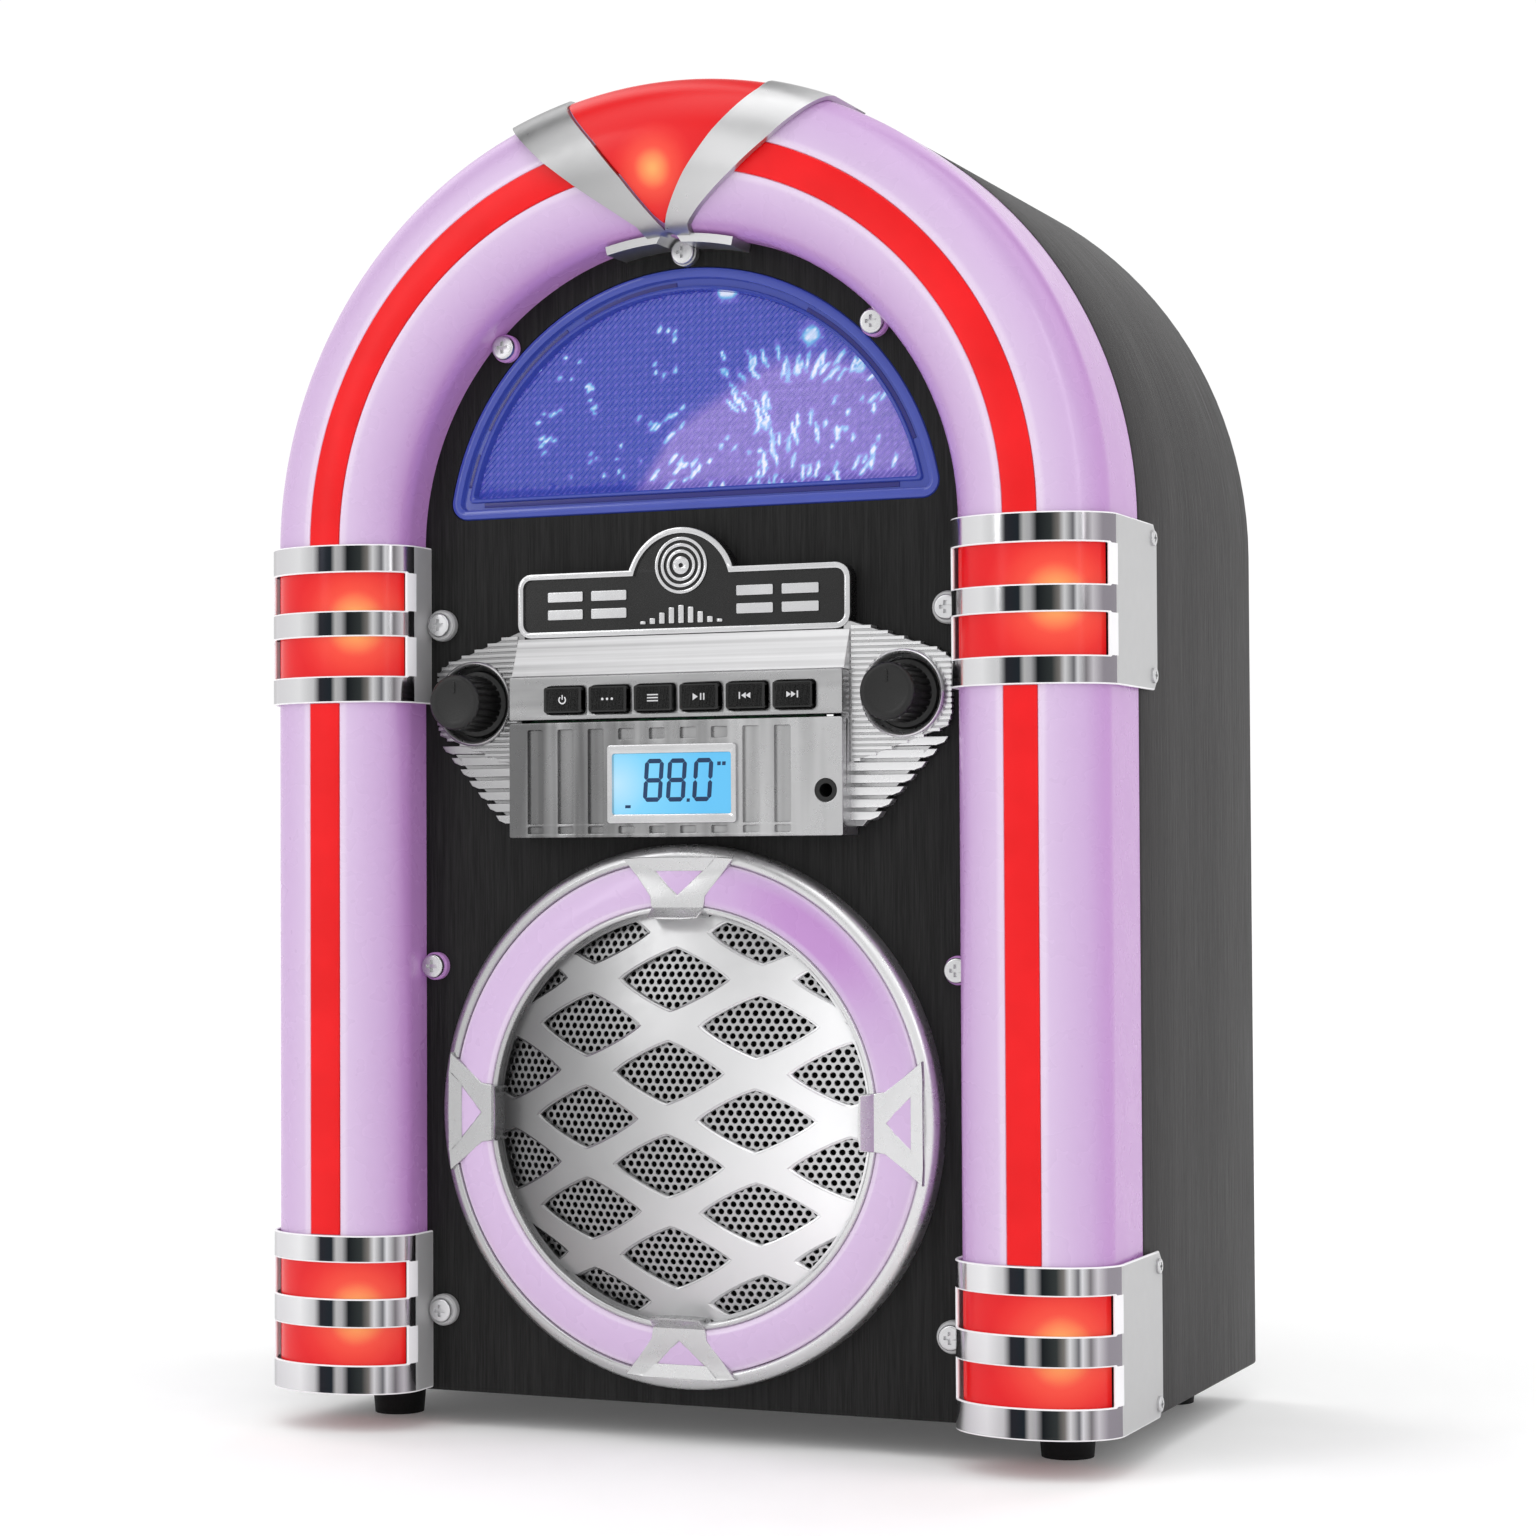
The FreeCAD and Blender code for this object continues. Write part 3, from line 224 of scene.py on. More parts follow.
def lilac_plastic():
    """Frosted lilac plastic with a glow from behind; its colour carries painted light and shade, pale beside its
    stripe and deeper down its flanks.
    """
    shader = Shader("lilac tube", srgb(196, 170, 206), 0.28, Coat_Weight=0.25, Coat_Roughness=0.1)
    side = shader.math("ABSOLUTE", shader.attribute("across"))
    # Painted light and shade: the colour is paler beside the stripe and deeper down the flanks, set by the distance
    # across the tube.
    painted_shading = shader.math("MULTIPLY_ADD", shader.noise(35, 2.0), 0.03, side)
    shader.color(painted_shading, ((0.02, srgb(212, 196, 217)), (0.31, srgb(206, 190, 212)),
                         (0.36, srgb(194, 172, 203)), (0.80, srgb(182, 152, 193)),
                         (1.02, srgb(170, 128, 182))))
    light = shader.ramp(side, ((0.0, srgb(215, 188, 222)), (0.75, srgb(192, 146, 204)),
                               (1.0, srgb(196, 124, 206))))
    shader.glow(light, 0.13)
    shader.rough(shader.noise(120, 2.0), 0.22, 0.34)
    shader.bump(shader.noise(900, 2.0), 0.05, 0.0002)
    return shader.material


def red_plastic(name, glow):
    shader = Shader(name, srgb(222, 10, 16), 0.3, Specular_IOR_Level=0.22)
    shader.color(shader.noise(60, 2.0), ((0.3, srgb(216, 10, 16)), (0.7, srgb(228, 18, 24))))
    shader.glow(srgb(235, 18, 24), glow)
    shader.bump(shader.noise(700, 2.0), 0.05, 0.0002)
    return shader.material


def lamp_plastic(name, lamp, reach):
    """Clear red plastic with a lamp close behind it at one point."""
    shader = Shader(name, srgb(180, 12, 16), 0.22, Specular_IOR_Level=0.3)
    away = shader.math("DIVIDE", shader.distance(lamp), reach)
    away = shader.math("MULTIPLY_ADD", shader.noise(90, 2.0), 0.06, away)
    shader.color(away, ((0.2, srgb(200, 116, 70)), (0.5, srgb(192, 44, 34)), (1.0, srgb(180, 10, 15))))
    shader.glow(shader.ramp(away, ((0.12, srgb(255, 222, 120)), (0.26, srgb(250, 170, 96)),
                                   (0.45, srgb(238, 96, 72)), (0.8, srgb(226, 38, 38)),
                                   (1.2, srgb(220, 14, 22)))), 0.42)
    shader.bump(shader.noise(500, 2.0), 0.05, 0.0002)
    return shader.material


def chrome(name, color, roughness, wear=0.08):
    shader = Shader(name, color, roughness, metallic=1.0)
    smudge = shader.noise(55, 4.0)
    shader.color(smudge, ((0.3, tuple(value * 0.9 for value in color)), (0.7, color)))
    shader.rough(smudge, max(roughness - wear / 2, 0.02), roughness + wear)
    shader.bump(shader.noise(1.0, 3.0, shader.stretched((160, 160, 40))), 0.03, 0.0006)
    return shader.material


def striped_chrome():
    """Polished plating whose colour carries painted reflections: the studio's upright dark and light strips."""
    shader = Shader("band plating", (0.7, 0.7, 0.71), 0.12, metallic=1.0)
    value = shader.math("MULTIPLY_ADD", shader.attribute("strip"), 0.5, 0.5)
    # Painted reflections: the ramp lays dark and light strips across the band.
    shader.color(value, ((0.0, (0.20, 0.19, 0.21)), (0.08, (0.62, 0.61, 0.63)),
                         (0.30, (0.72, 0.72, 0.73)), (0.41, (0.50, 0.50, 0.51)),
                         (0.455, (0.02, 0.02, 0.025)), (0.535, (0.015, 0.02, 0.025)),
                         (0.565, (0.42, 0.42, 0.42)), (0.60, (0.36, 0.36, 0.37)),
                         (0.64, (0.01, 0.012, 0.014)), (0.72, (0.03, 0.035, 0.035)),
                         (0.76, (0.16, 0.15, 0.14)), (0.79, (0.58, 0.58, 0.59)),
                         (0.835, (0.12, 0.12, 0.13)), (0.855, (0.60, 0.60, 0.62)),
                         (0.895, (0.16, 0.15, 0.16)), (0.93, (0.52, 0.50, 0.53)),
                         (0.975, (0.26, 0.24, 0.27))))
    shader.rough(shader.noise(60, 3.0), 0.08, 0.18)
    shader.bump(shader.noise(1.0, 3.0, shader.stretched((160, 160, 30))), 0.03, 0.0006)
    return shader.material


def satin_silver(name, left, right, half=0.075, roughness=0.28, metallic=0.9, brushed=None):
    """Satin silver plating with painted light: darker on one side of the front, lighter on the other."""
    shader = Shader(name, (left, left, left), roughness, metallic)
    split = shader.add("ShaderNodeSeparateXYZ")
    shader.link(shader.coordinates, split.inputs[0])
    # Painted light: the colour runs from the left value to the right value across x.
    painted_light_sweep = shader.math("MULTIPLY_ADD", split.outputs["X"], 0.5 / half, 0.5)
    painted_light_sweep = shader.math("MULTIPLY_ADD", shader.noise(30, 3.0), 0.14, painted_light_sweep)
    if brushed:
        lines = shader.math("SUBTRACT", shader.noise(1.0, 2.0, shader.stretched(brushed)), 0.5)
        painted_light_sweep = shader.math("MULTIPLY_ADD", lines, 1.5, painted_light_sweep)
    shader.color(painted_light_sweep, ((0.07, (left, left, left * 1.01)), (1.07, (right, right, right * 1.01))))
    shader.rough(shader.noise(300, 3.0), roughness - 0.03, roughness + 0.04)
    shader.bump(shader.noise(2200, 2.0), 0.02, 0.0001)
    return shader.material


def moulded(name, color, roughness, grain=1500, strength=0.25, gloss=0.35, glow=0.0):
    """Plain moulded or painted material with a fine grain."""
    shader = Shader(name, color, roughness, Specular_IOR_Level=gloss)
    fine = shader.noise(grain, 3.0)
    lighter = tuple(min(1.0, value * 1.4 + 0.003) for value in color)
    shader.color(shader.noise(70, 3.0), ((0.35, color), (0.75, lighter)))
    shader.rough(fine, max(roughness - 0.08, 0.05), roughness + 0.1)
    shader.bump(fine, strength, 0.0002)
    if glow:
        shader.glow((1, 1, 1), glow)
    return shader.material


def blue_plastic():
    shader = Shader("blue lens", srgb(96, 110, 225), 0.06, Transmission_Weight=0.85, IOR=1.3)
    shader.glow(srgb(30, 50, 200), 0.05)
    shader.bump(shader.noise(300, 2.0), 0.04, 0.0003)
    return shader.material


def prism_film():
    """The dome's prism sheet: deep blue on the left, a violet fan low on the right, painted glints in its glow."""
    shader = Shader("prism film", srgb(52, 62, 150), 0.2, Coat_Weight=0.3, Coat_Roughness=0.06)
    fan = shader.attribute("fan")
    cloud = shader.math("MULTIPLY_ADD", shader.noise(45, 3.0), 0.35, fan)
    shader.color(cloud, ((0.25, srgb(46, 62, 138)), (0.55, srgb(60, 70, 142)),
                         (0.95, srgb(112, 98, 156)), (1.2, srgb(126, 112, 164))))
    # Painted glints: the glow brightens to white where this value is high.
    painted_glint = shader.attribute("painted_glint")
    shader.glow(shader.ramp(painted_glint, ((0.0, srgb(34, 46, 130)), (0.3, srgb(112, 92, 184)),
                                    (0.55, srgb(110, 196, 226)), (0.85, srgb(250, 255, 255)))), 0.68)
    return shader.material


def plain_glow(name, color, strength, roughness=0.2):
    shader = Shader(name, color, roughness)
    shader.color(shader.noise(80, 2.0), ((0.3, color), (0.8, tuple(v * 0.92 for v in color))))
    shader.glow(color, strength)
    return shader.material


def display_glass(lamp):
    """A backlit display: cyan, brighter where its lamp sits."""
    shader = Shader("display", srgb(30, 66, 96), 0.12, Coat_Weight=0.8, Coat_Roughness=0.03)
    away = shader.math("DIVIDE", shader.distance(lamp), 0.03)
    away = shader.math("MULTIPLY_ADD", shader.noise(120, 2.0), 0.05, away)
    shader.glow(shader.ramp(away, ((0.05, srgb(190, 235, 255)), (0.35, srgb(120, 215, 252)),
                                   (0.9, srgb(84, 196, 246)))), 0.85)
    shader.bump(shader.noise(2500, 2.0), 0.03, 0.0001)
    return shader.material


def circuit():
    shader = Shader("circuit board", srgb(20, 80, 45), 0.4)
    tracks = shader.noise(220, 1.0, shader.stretched((1, 1, 3)))
    shader.color(tracks, ((0.45, srgb(16, 70, 38)), (0.55, srgb(40, 120, 66))))
    shader.bump(tracks, 0.2, 0.0002)
    return shader.material


LOOKS = {
    "vinyl": wood_grain("wood-grain vinyl", (0.006, 0.006, 0.006), (0.016, 0.016, 0.016), (0, 1, 1)),
    "wrap": around_grain("wood-grain wrap", (0.011, 0.010, 0.0105), (0.036, 0.033, 0.034)),
    "painted": moulded("painted board", srgb(34, 33, 34), 0.6, 800, 0.3),
    "bare": moulded("bare wood", srgb(190, 160, 120), 0.7, 600, 0.4),
    "rubber": moulded("foot rubber", srgb(16, 16, 17), 0.65, 1800, 0.3, 0.2),
    "lilac": lilac_plastic(),
    "stripe": red_plastic("red stripe", 0.05),
    "chrome": striped_chrome(),
    # The satin silver looks carry painted light: each grows from its first value on the left of the front to its
    # second on the right.
    "flank": satin_silver("band flank", 0.46, 0.48, 0.12, 0.4, 0.25),
    # A glowing pale material: painted highlights on the bands' edges and window ends.
    "edge": plain_glow("painted highlight edge", (0.78, 0.77, 0.79), 0.15),
    "crown": satin_silver("crown plating", 0.24, 0.66, 0.05, 0.3),
    "ring": satin_silver("ring plating", 0.40, 0.68),
    "grille": satin_silver("grille plating", 0.11, 0.90, 0.050, 0.34),
    "clasp": satin_silver("clasp plating", 0.44, 0.66, 0.07, 0.26),
    "slope": satin_silver("panel slope", 0.36, 0.66, roughness=0.36, brushed=(5, 1, 700)),
    "strip": satin_silver("panel strip", 0.27, 0.42, brushed=(30, 1, 240)),
    "face": satin_silver("panel face", 0.13, 0.46, 0.048, brushed=(170, 1, 9)),
    # Painted shade: the channel grounds are a little darker than the face, and the furrows round the wing ribs much
    # darker than the ribs.
    "channel": satin_silver("panel channels", 0.12, 0.42, 0.048, brushed=(170, 1, 5)),
    "rib": satin_silver("panel ribs", 0.34, 0.76),
    "furrow": satin_silver("panel furrows", 0.24, 0.50),
    "trim": chrome("bright trim", (0.60, 0.60, 0.61), 0.16),
    "screw": chrome("screw steel", (0.62, 0.62, 0.63), 0.25, 0.15),
    "black": moulded("black plastic", (0.006, 0.006, 0.006), 0.34, 1500, 0.2),
    "gloss": moulded("gloss black", (0.004, 0.004, 0.004), 0.25, 2500, 0.05),
    "steel": chrome("turned metal", (0.5, 0.5, 0.5), 0.3, 0.15),
    "board": circuit(),
    "mesh": satin_silver("mesh steel", 0.15, 0.55, 0.052, 0.35),
    "dark_steel": moulded("painted steel", srgb(20, 20, 22), 0.5, 600, 0.2),
    "paper": moulded("cone paper", srgb(20, 20, 20), 0.85, 500, 0.6, 0.1),
    "blue": blue_plastic(),
    "rim": plain_glow("dome rim", srgb(52, 66, 150), 0.22, 0.12),
    "trough": plain_glow("dome trough", srgb(20, 20, 112), 0.06, 0.2),
    "prism": prism_film(),
    "ink": moulded("display ink", srgb(8, 46, 84), 0.4, 2500, 0.05),
    "legend": moulded("button legend", srgb(190, 190, 192), 0.5, 2500, 0.05),
}

KEPT_LOOKS = {
    "vinyl": ["front_baffle"],
    "painted": ["rear_panel"],
    "bare": ["corner_cleats"],
    "rubber": ["rubber_feet", "speaker_surround"],
    "crown": ["crown_trim"],
    "face": ["control_panel"],
    "ring": ["grille_frame"],
    "trim": ["nameplate_trim", "lcd_bezel"],
    "gloss": ["nameplate"],
    "black": ["aux_jack", "connector_plate", "dc_inlet", "antenna_grommet", "volume_knob",
              "tuning_knob", "button_power", "button_mode", "button_memory", "button_play",
              "button_previous", "button_next"],
    "steel": ["volume_shaft", "tuning_shaft", "volume_control", "tuning_control"],
    "board": ["control_board", "main_board", "dome_led_board", "led_boards"],
    "dark_steel": ["speaker_basket", "speaker_magnet"],
    "paper": ["speaker_cone"],
    "screw": ["trim_screws", "band_side_screws", "wood_screws"],
    "blue": ["dome_lens"],
    "lilac": ["ring_diffuser"],
}


def dress(node, look):
    """Gives a kept CAD node its material, with smooth shading split at its sharper edges."""
    item = NODES[node]
    item.data.materials.clear()
    item.data.materials.append(LOOKS[look])
    weld = item.modifiers.new("weld", "WELD")
    weld.merge_threshold = 0.00001
    item.data.polygons.foreach_set("use_smooth", [True] * len(item.data.polygons))
    crisp = item.modifiers.new("crisp", "EDGE_SPLIT")
    crisp.split_angle = math.radians(38)


for look, names in KEPT_LOOKS.items():
    for name in names:
        dress(name, look)

LOOKS["crown lens"] = lamp_plastic("crown lamp lens", (0, TUBE_FRONT + 1.0 * MM, 0.3365), 0.013)
dress("crown_lens", "crown lens")


# ---------------------------------------------------------------- mesh building

def add_mesh(name, vertices, faces, look, sharp=32):
    """A mesh object with outward normals, smooth except across edges sharper than `sharp`."""
    mesh = bpy.data.meshes.new(name)
    mesh.from_pydata([tuple(v) for v in vertices], [], faces)
    work = bmesh.new()
    work.from_mesh(mesh)
    bmesh.ops.remove_doubles(work, verts=work.verts, dist=1e-7)
    bmesh.ops.recalc_face_normals(work, faces=work.faces)
    work.to_mesh(mesh)
    work.free()
    mesh.polygons.foreach_set("use_smooth", [True] * len(mesh.polygons))
    mesh.set_sharp_from_angle(angle=math.radians(sharp))
    mesh.materials.append(LOOKS[look] if isinstance(look, str) else look)
    item = bpy.data.objects.new(name, mesh)
    bpy.context.scene.collection.objects.link(item)
    return item


def stand_for(item, body, slot, *nodes):
    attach(item, body)
    if nodes:
        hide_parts(*nodes)
    return item


def bridge_loops(loops, closed=True, caps=True):
    """Faces between loops of equal length; vertices are numbered loop by loop."""
    count = len(loops[0])
    faces = []
    for row in range(len(loops) - 1):
        for step in range(count if closed else count - 1):
            a, b = row * count + step, row * count + (step + 1) % count
            faces.append((a, b, b + count, a + count))
    if caps:
        faces.append(tuple(range(count)))
        faces.append(tuple(range((len(loops) - 1) * count, len(loops) * count)))
    return faces


class Patches:
    """Points and faces gathered from several patches of a mesh."""

    def __init__(self):
        self.points, self.faces = [], []

    def take(self, points, faces):
        start = len(self.points)
        self.points += points
        self.faces += [tuple(index + start for index in face) for face in faces]

    def skin(self, loops, caps=True):
        self.take([point for loop in loops for point in loop], bridge_loops(loops, caps=caps))


def lofted(name, loops, look, sharp=32, caps=True, ring=False):
    """A skin between loops of points; a ring also joins the last loop to the first."""
    points = [point for loop in loops for point in loop]
    faces = bridge_loops(loops + loops[:1] if ring else loops, caps=caps and not ring)
    faces = [tuple(index % len(points) for index in face) for face in faces]
    return add_mesh(name, points, faces, look, sharp)


def ellipse_y(u, half, depth):
    return SHOULDER_Y - depth * math.sqrt(max(0.0, 1 - (u / half) ** 2))


def front_points(half, depth, start, stop, count):
    """Points (u, y) along a tube's elliptical front, between two angles in degrees."""
    points = []
    for step in range(count + 1):
        angle = math.radians(start + (stop - start) * step / count)
        points.append((-half * math.cos(angle), SHOULDER_Y - depth * math.sin(angle)))
    return points


def along_tube(points, side, z=None, angle=None):
    """A section's points placed on a column at height z, or on the arch at an angle."""
    placed = []
    for u, y in points:
        radius = TUBE_X + u
        if angle is None:
            placed.append(Vector((side * radius, y, z)))
        else:
            turn = math.radians(angle)
            placed.append(Vector((side * radius * math.cos(turn), y, ARCH_Z + radius * math.sin(turn))))
    return placed


def across_attribute(item):
    """How far each point is across its tube: 0 at the stripe, -1 and 1 at the flanks."""
    values = item.data.attributes.new("across", "FLOAT", "POINT")
    for vertex in item.data.vertices:
        x, _, z = vertex.co
        reach = abs(x) if z < ARCH_Z else math.hypot(x, z - ARCH_Z)
        values.data[vertex.index].value = (reach - TUBE_X) / TUBE_HALF
    return item


# ---------------------------------------------------------------- light tubes

WALL = 2.2 * MM
GROOVE_HALF = STRIPE_HALF + 0.35 * MM
GROOVE_DEPTH = 0.9 * MM
SKIRT_LEDGE = BAFFLE_Y + 6.9 * MM
TUBE_EAR_RADIUS = 3.8 * MM
COLUMN_EAR_Z = 126 * MM
ARCH_EAR_REACH = 76.4 * MM
ARCH_EAR_TURN = math.radians(45)


def tube_profile():
    """The tube's section: a grooved elliptical front, a short inner and a long outer flank."""
    split = math.degrees(math.acos(GROOVE_HALF / TUBE_HALF))
    left = front_points(TUBE_HALF, TUBE_DEPTH, 0, split, 22)
    right = [(-u, y) for u, y in reversed(left)]
    lip, edge = left[-1]
    lip_round = 0.35 * MM
    groove = [(lip + lip_round * 0.35, edge + lip_round * 0.12), (lip + lip_round, edge + lip_round),
              (lip + lip_round, edge + GROOVE_DEPTH), (0, TUBE_FRONT + GROOVE_DEPTH)]
    groove += [(-u, y) for u, y in reversed(groove[:-1])]
    inner = front_points(TUBE_HALF - WALL, TUBE_DEPTH - WALL, 0, 180, 30)
    outside = [(-TUBE_HALF, BAFFLE_Y)] + left + groove + right
    outside += [(TUBE_HALF, SKIRT_LEDGE), (TUBE_HALF - 0.3 * MM, SKIRT_LEDGE + 0.25 * MM),
                (TUBE_HALF - 0.3 * MM, TUBE_BACK)]
    inside = [(TUBE_HALF - WALL, TUBE_BACK)] + list(reversed(inner)) + [(-TUBE_HALF + WALL, BAFFLE_Y)]
    return outside + inside


def stripe_profile():
    """The red stripe: a slip that follows the tube's front, with softened edges."""
    half, proud, back = STRIPE_HALF, 0.3 * MM, 0.8 * MM
    top = [(half * step / 6, ellipse_y(half * step / 6, TUBE_HALF, TUBE_DEPTH) - proud)
           for step in range(-6, 7)]
    top[0] = (top[0][0], top[0][1] + 0.25 * MM)
    top[-1] = (top[-1][0], top[-1][1] + 0.25 * MM)
    top.insert(1, (-half + 0.3 * MM, ellipse_y(half - 0.3 * MM, TUBE_HALF, TUBE_DEPTH) - proud))
    top.insert(-1, (half - 0.3 * MM, top[1][1]))
    return top + [(half, top[0][1] + back), (-half, top[0][1] + back)]


def column_piece(name, profile, side, z0, z1, look, steps=8):
    loops = [along_tube(profile, side, z=z0 + (z1 - z0) * step / steps) for step in range(steps + 1)]
    return lofted(name, loops, look)


def arch_piece(name, profile, side, z0, look):
    """A half arch: a short straight foot from z0, then a quarter turn."""
    loops = [along_tube(profile, side, z=z0)]
    loops += [along_tube(profile, side, angle=step * 1.5) for step in range(61)]
    return lofted(name, loops, look)


def ear_disc(center, radius, thickness=2.2 * MM):
    """Points and faces of a screw ear: a disc with a softened rim."""
    rings = [(radius, 0.0), (radius, -thickness * 0.72), (radius - 0.4 * MM, -thickness),
             (radius * 0.3, -thickness)]
    loops = []
    for ring, depth in rings:
        loops.append([center + Vector((ring * math.cos(t), depth, ring * math.sin(t)))
                      for t in [math.tau * step / 40 for step in range(40)]])
    return [p for loop in loops for p in loop], bridge_loops(loops)


def join_meshes(items):
    """Joins objects into the first."""
    bpy.ops.object.select_all(action="DESELECT")
    for item in items:
        item.select_set(True)
    bpy.context.view_layer.objects.active = items[0]
    bpy.ops.object.join()
    return items[0]


def tube_pieces():
    profile, slip = tube_profile(), stripe_profile()
    arch_start = Box("arch_tube_right").low.z
    stripe_low = Box("arch_stripe_right").low.z
    for side, word in ((1, "right"), (-1, "left")):
        made = [
            (column_piece("column_cover_" + word, profile, side, COLUMN.low.z, COLUMN.high.z, "lilac"),
             "column_tube_" + word, "lilac_tube"),
            (arch_piece("arch_cover_" + word, profile, side, arch_start, "lilac"),
             "arch_tube_" + word, "lilac_tube"),
            (column_piece("column_slip_" + word, slip, side, STRIPE.low.z, STRIPE.high.z, "stripe"),
             "column_stripe_" + word, "red_stripe"),
            (arch_piece("arch_slip_" + word, slip, side, stripe_low, "stripe"),
             "arch_stripe_" + word, "red_stripe"),
        ]
        for item, node, slot in made:
            if slot == "lilac_tube":
                item = with_ear(item, node, side)
                across_attribute(item)
            stand_for(item, "cabinet", slot, node)


def with_ear(item, node, side):
    """Adds the screw ear that the CAD node has on its inner flank."""
    if node.startswith("column"):
        center = Vector((side * (COLUMN.low.x + TUBE_EAR_RADIUS), BAFFLE_Y, COLUMN_EAR_Z))
    else:
        across, up = ARCH_EAR_REACH * math.cos(ARCH_EAR_TURN), ARCH_EAR_REACH * math.sin(ARCH_EAR_TURN)
        center = Vector((side * across, BAFFLE_Y, ARCH_Z + up))
    points, faces = ear_disc(center, TUBE_EAR_RADIUS)
    ear = add_mesh(item.name + "_ear", points, faces, "lilac")
    return join_meshes([item, ear])


tube_pieces()


# ---------------------------------------------------------------- cabinet wrap

def arch_outline(half, bottom, corner, steps=64):
    """The cabinet's outline from the bottom middle round to it again, anticlockwise."""
    points = [(0.0, bottom)]
    for step in range(7):
        turn = math.radians(-90 + 15 * step)
        points.append((half - corner + corner * math.cos(turn), bottom + corner + corner * math.sin(turn)))
    points += [(half, bottom + (ARCH_Z - bottom) * step / 6) for step in range(1, 6)]
    points += [(half * math.cos(math.pi * step / steps), ARCH_Z + half * math.sin(math.pi * step / steps))
               for step in range(steps + 1)]
    right = [(x, z) for x, z in points if x > 1e-9 and z < ARCH_Z - 1e-9]
    return points + [(-x, z) for x, z in reversed(right)]


def cabinet_wrap():
    """The board wrap, as rings from its front edge back to its rear edge and inside again."""
    bottom, wall, soft = SHELL.low.z, 9 * MM, 0.8 * MM
    front, rear = TUBE_BACK + 0.1 * MM, SHELL.high.y
    rebate = 2.6 * MM
    rings = [(wall, 9 * MM + BAFFLE_Y), (rebate, 9 * MM + BAFFLE_Y), (rebate, front), (soft, front),
             (soft * 0.3, front + soft * 0.3), (0.0, front + soft)]
    rings += [(0.0, front + (rear - front) * share) for share in (0.3, 0.6)]
    rings += [(0.0, rear - soft), (soft * 0.3, rear - soft * 0.3), (soft, rear), (wall, rear)]
    loops = []
    for inset, y in rings:
        low = bottom if inset <= rebate else bottom + wall
        outline = arch_outline(HALF_WIDTH - inset, low + (inset if inset < rebate else 0.0), 1.2 * MM)
        loops.append([Vector((x, y, z)) for x, z in outline])
    item = lofted("cabinet_wrap", loops, "wrap", ring=True)
    lay_wrap_map(item)
    return item


def lay_wrap_map(item):
    """A map with the distance round the wall and the distance back, in metres."""
    layer = item.data.uv_layers.new(name="wrap")
    for loop in item.data.loops:
        x, y, z = item.data.vertices[loop.vertex_index].co
        if z >= ARCH_Z:
            turn = math.atan2(z - ARCH_Z, x)
            along = ARCH_Z + HALF_WIDTH * turn
        else:
            along = z if x > 0 else ARCH_Z + math.pi * HALF_WIDTH + (ARCH_Z - z)
        layer.data[loop.index].uv = (along, y)


stand_for(cabinet_wrap(), "cabinet", "vinyl_board", "cabinet_shell")


# ---------------------------------------------------------------- plated bands and their lenses

BAND_EAR_RADIUS = 4.3 * MM
BAND_WALL = 0.85 * MM
# The material slot of the painted highlights on bevels and window ends.
PAINTED_HIGHLIGHT_SLOT = 2
BAND_WINDOWS = {
    "mid": ((205.4 * MM, 216.1 * MM), (223.2 * MM, 233.6 * MM)),
    "base": ((18.4 * MM, 28.4 * MM), (36.3 * MM, 46.0 * MM)),
}


def band_path():
    """The band's outside as (u, y): inner flank, elliptical front, flange on the cabinet's side."""
    front = front_points(BAND_HALF, BAND_DEPTH, 0, 180, 48)
    return [(-BAND_HALF, BAFFLE_Y), (-BAND_HALF, BAFFLE_Y - 4 * MM)] + front + [
        (BAND_HALF, BAFFLE_Y), (BAND_HALF, TUBE_BACK), (BAND_HALF, MID_BAND.high.y - 3 * MM),
        (BAND_HALF, MID_BAND.high.y)]


def band_sheet(path, side, box, windows):
    """The band's outside as one sheet of points and faces, open at the windows."""
    levels = [box.low.z] + [z for window in windows for z in window] + [box.high.z]
    chamfer, window_end = 3 * MM, BAFFLE_Y - 12.0 * MM
    points, faces, count = [], [], len(path)
    for z in levels:
        row = along_tube(path, side, z=z)
        if z in (levels[0], levels[-1]):
            row[-1].z += chamfer if z == levels[0] else -chamfer
        points += row
    for row in range(len(levels) - 1):
        for step in range(count - 1):
            in_front = max(path[step][1], path[step + 1][1]) < window_end + 1e-6
            if not (row in (1, 3) and in_front):
                a = row * count + step
                faces.append((a, a + 1, a + 1 + count, a + count))
    return points, faces


def band_shell(name, side, box, windows):
    """A plated band: chrome in front with painted reflection strips, satin flanks, and painted highlights on its
    edges and window ends.
    """
    item = add_mesh(name, *band_sheet(band_path(), side, box, windows), "chrome", 30)
    item.data.materials.append(LOOKS["flank"])
    item.data.materials.append(LOOKS["edge"])
    for polygon in item.data.polygons:
        middle = polygon.center
        polygon.material_index = int(abs(polygon.normal.x) > 0.97 and middle.y > SHOULDER_Y - 3 * MM)
        # The window-end faces get the painted-highlight material.
        if middle.y < SHOULDER_Y - 0.5 * MM and any(low < middle.z < high for low, high in windows):
            polygon.material_index = PAINTED_HIGHLIGHT_SLOT
    # Painted reflections: each point's place across the band, shifted a little per side, picks its strip of the
    # plating's painted reflections.
    painted_reflection_strips = item.data.attributes.new("strip", "FLOAT", "POINT")
    shift = -1.3 * MM if side < 0 else 1.2 * MM
    for vertex in item.data.vertices:
        painted_reflection_strips.data[vertex.index].value = (vertex.co.x - side * TUBE_X + shift) / BAND_HALF
    face_out(item, side)
    thicken(item, BAND_WALL, 0.4 * MM)
    return item


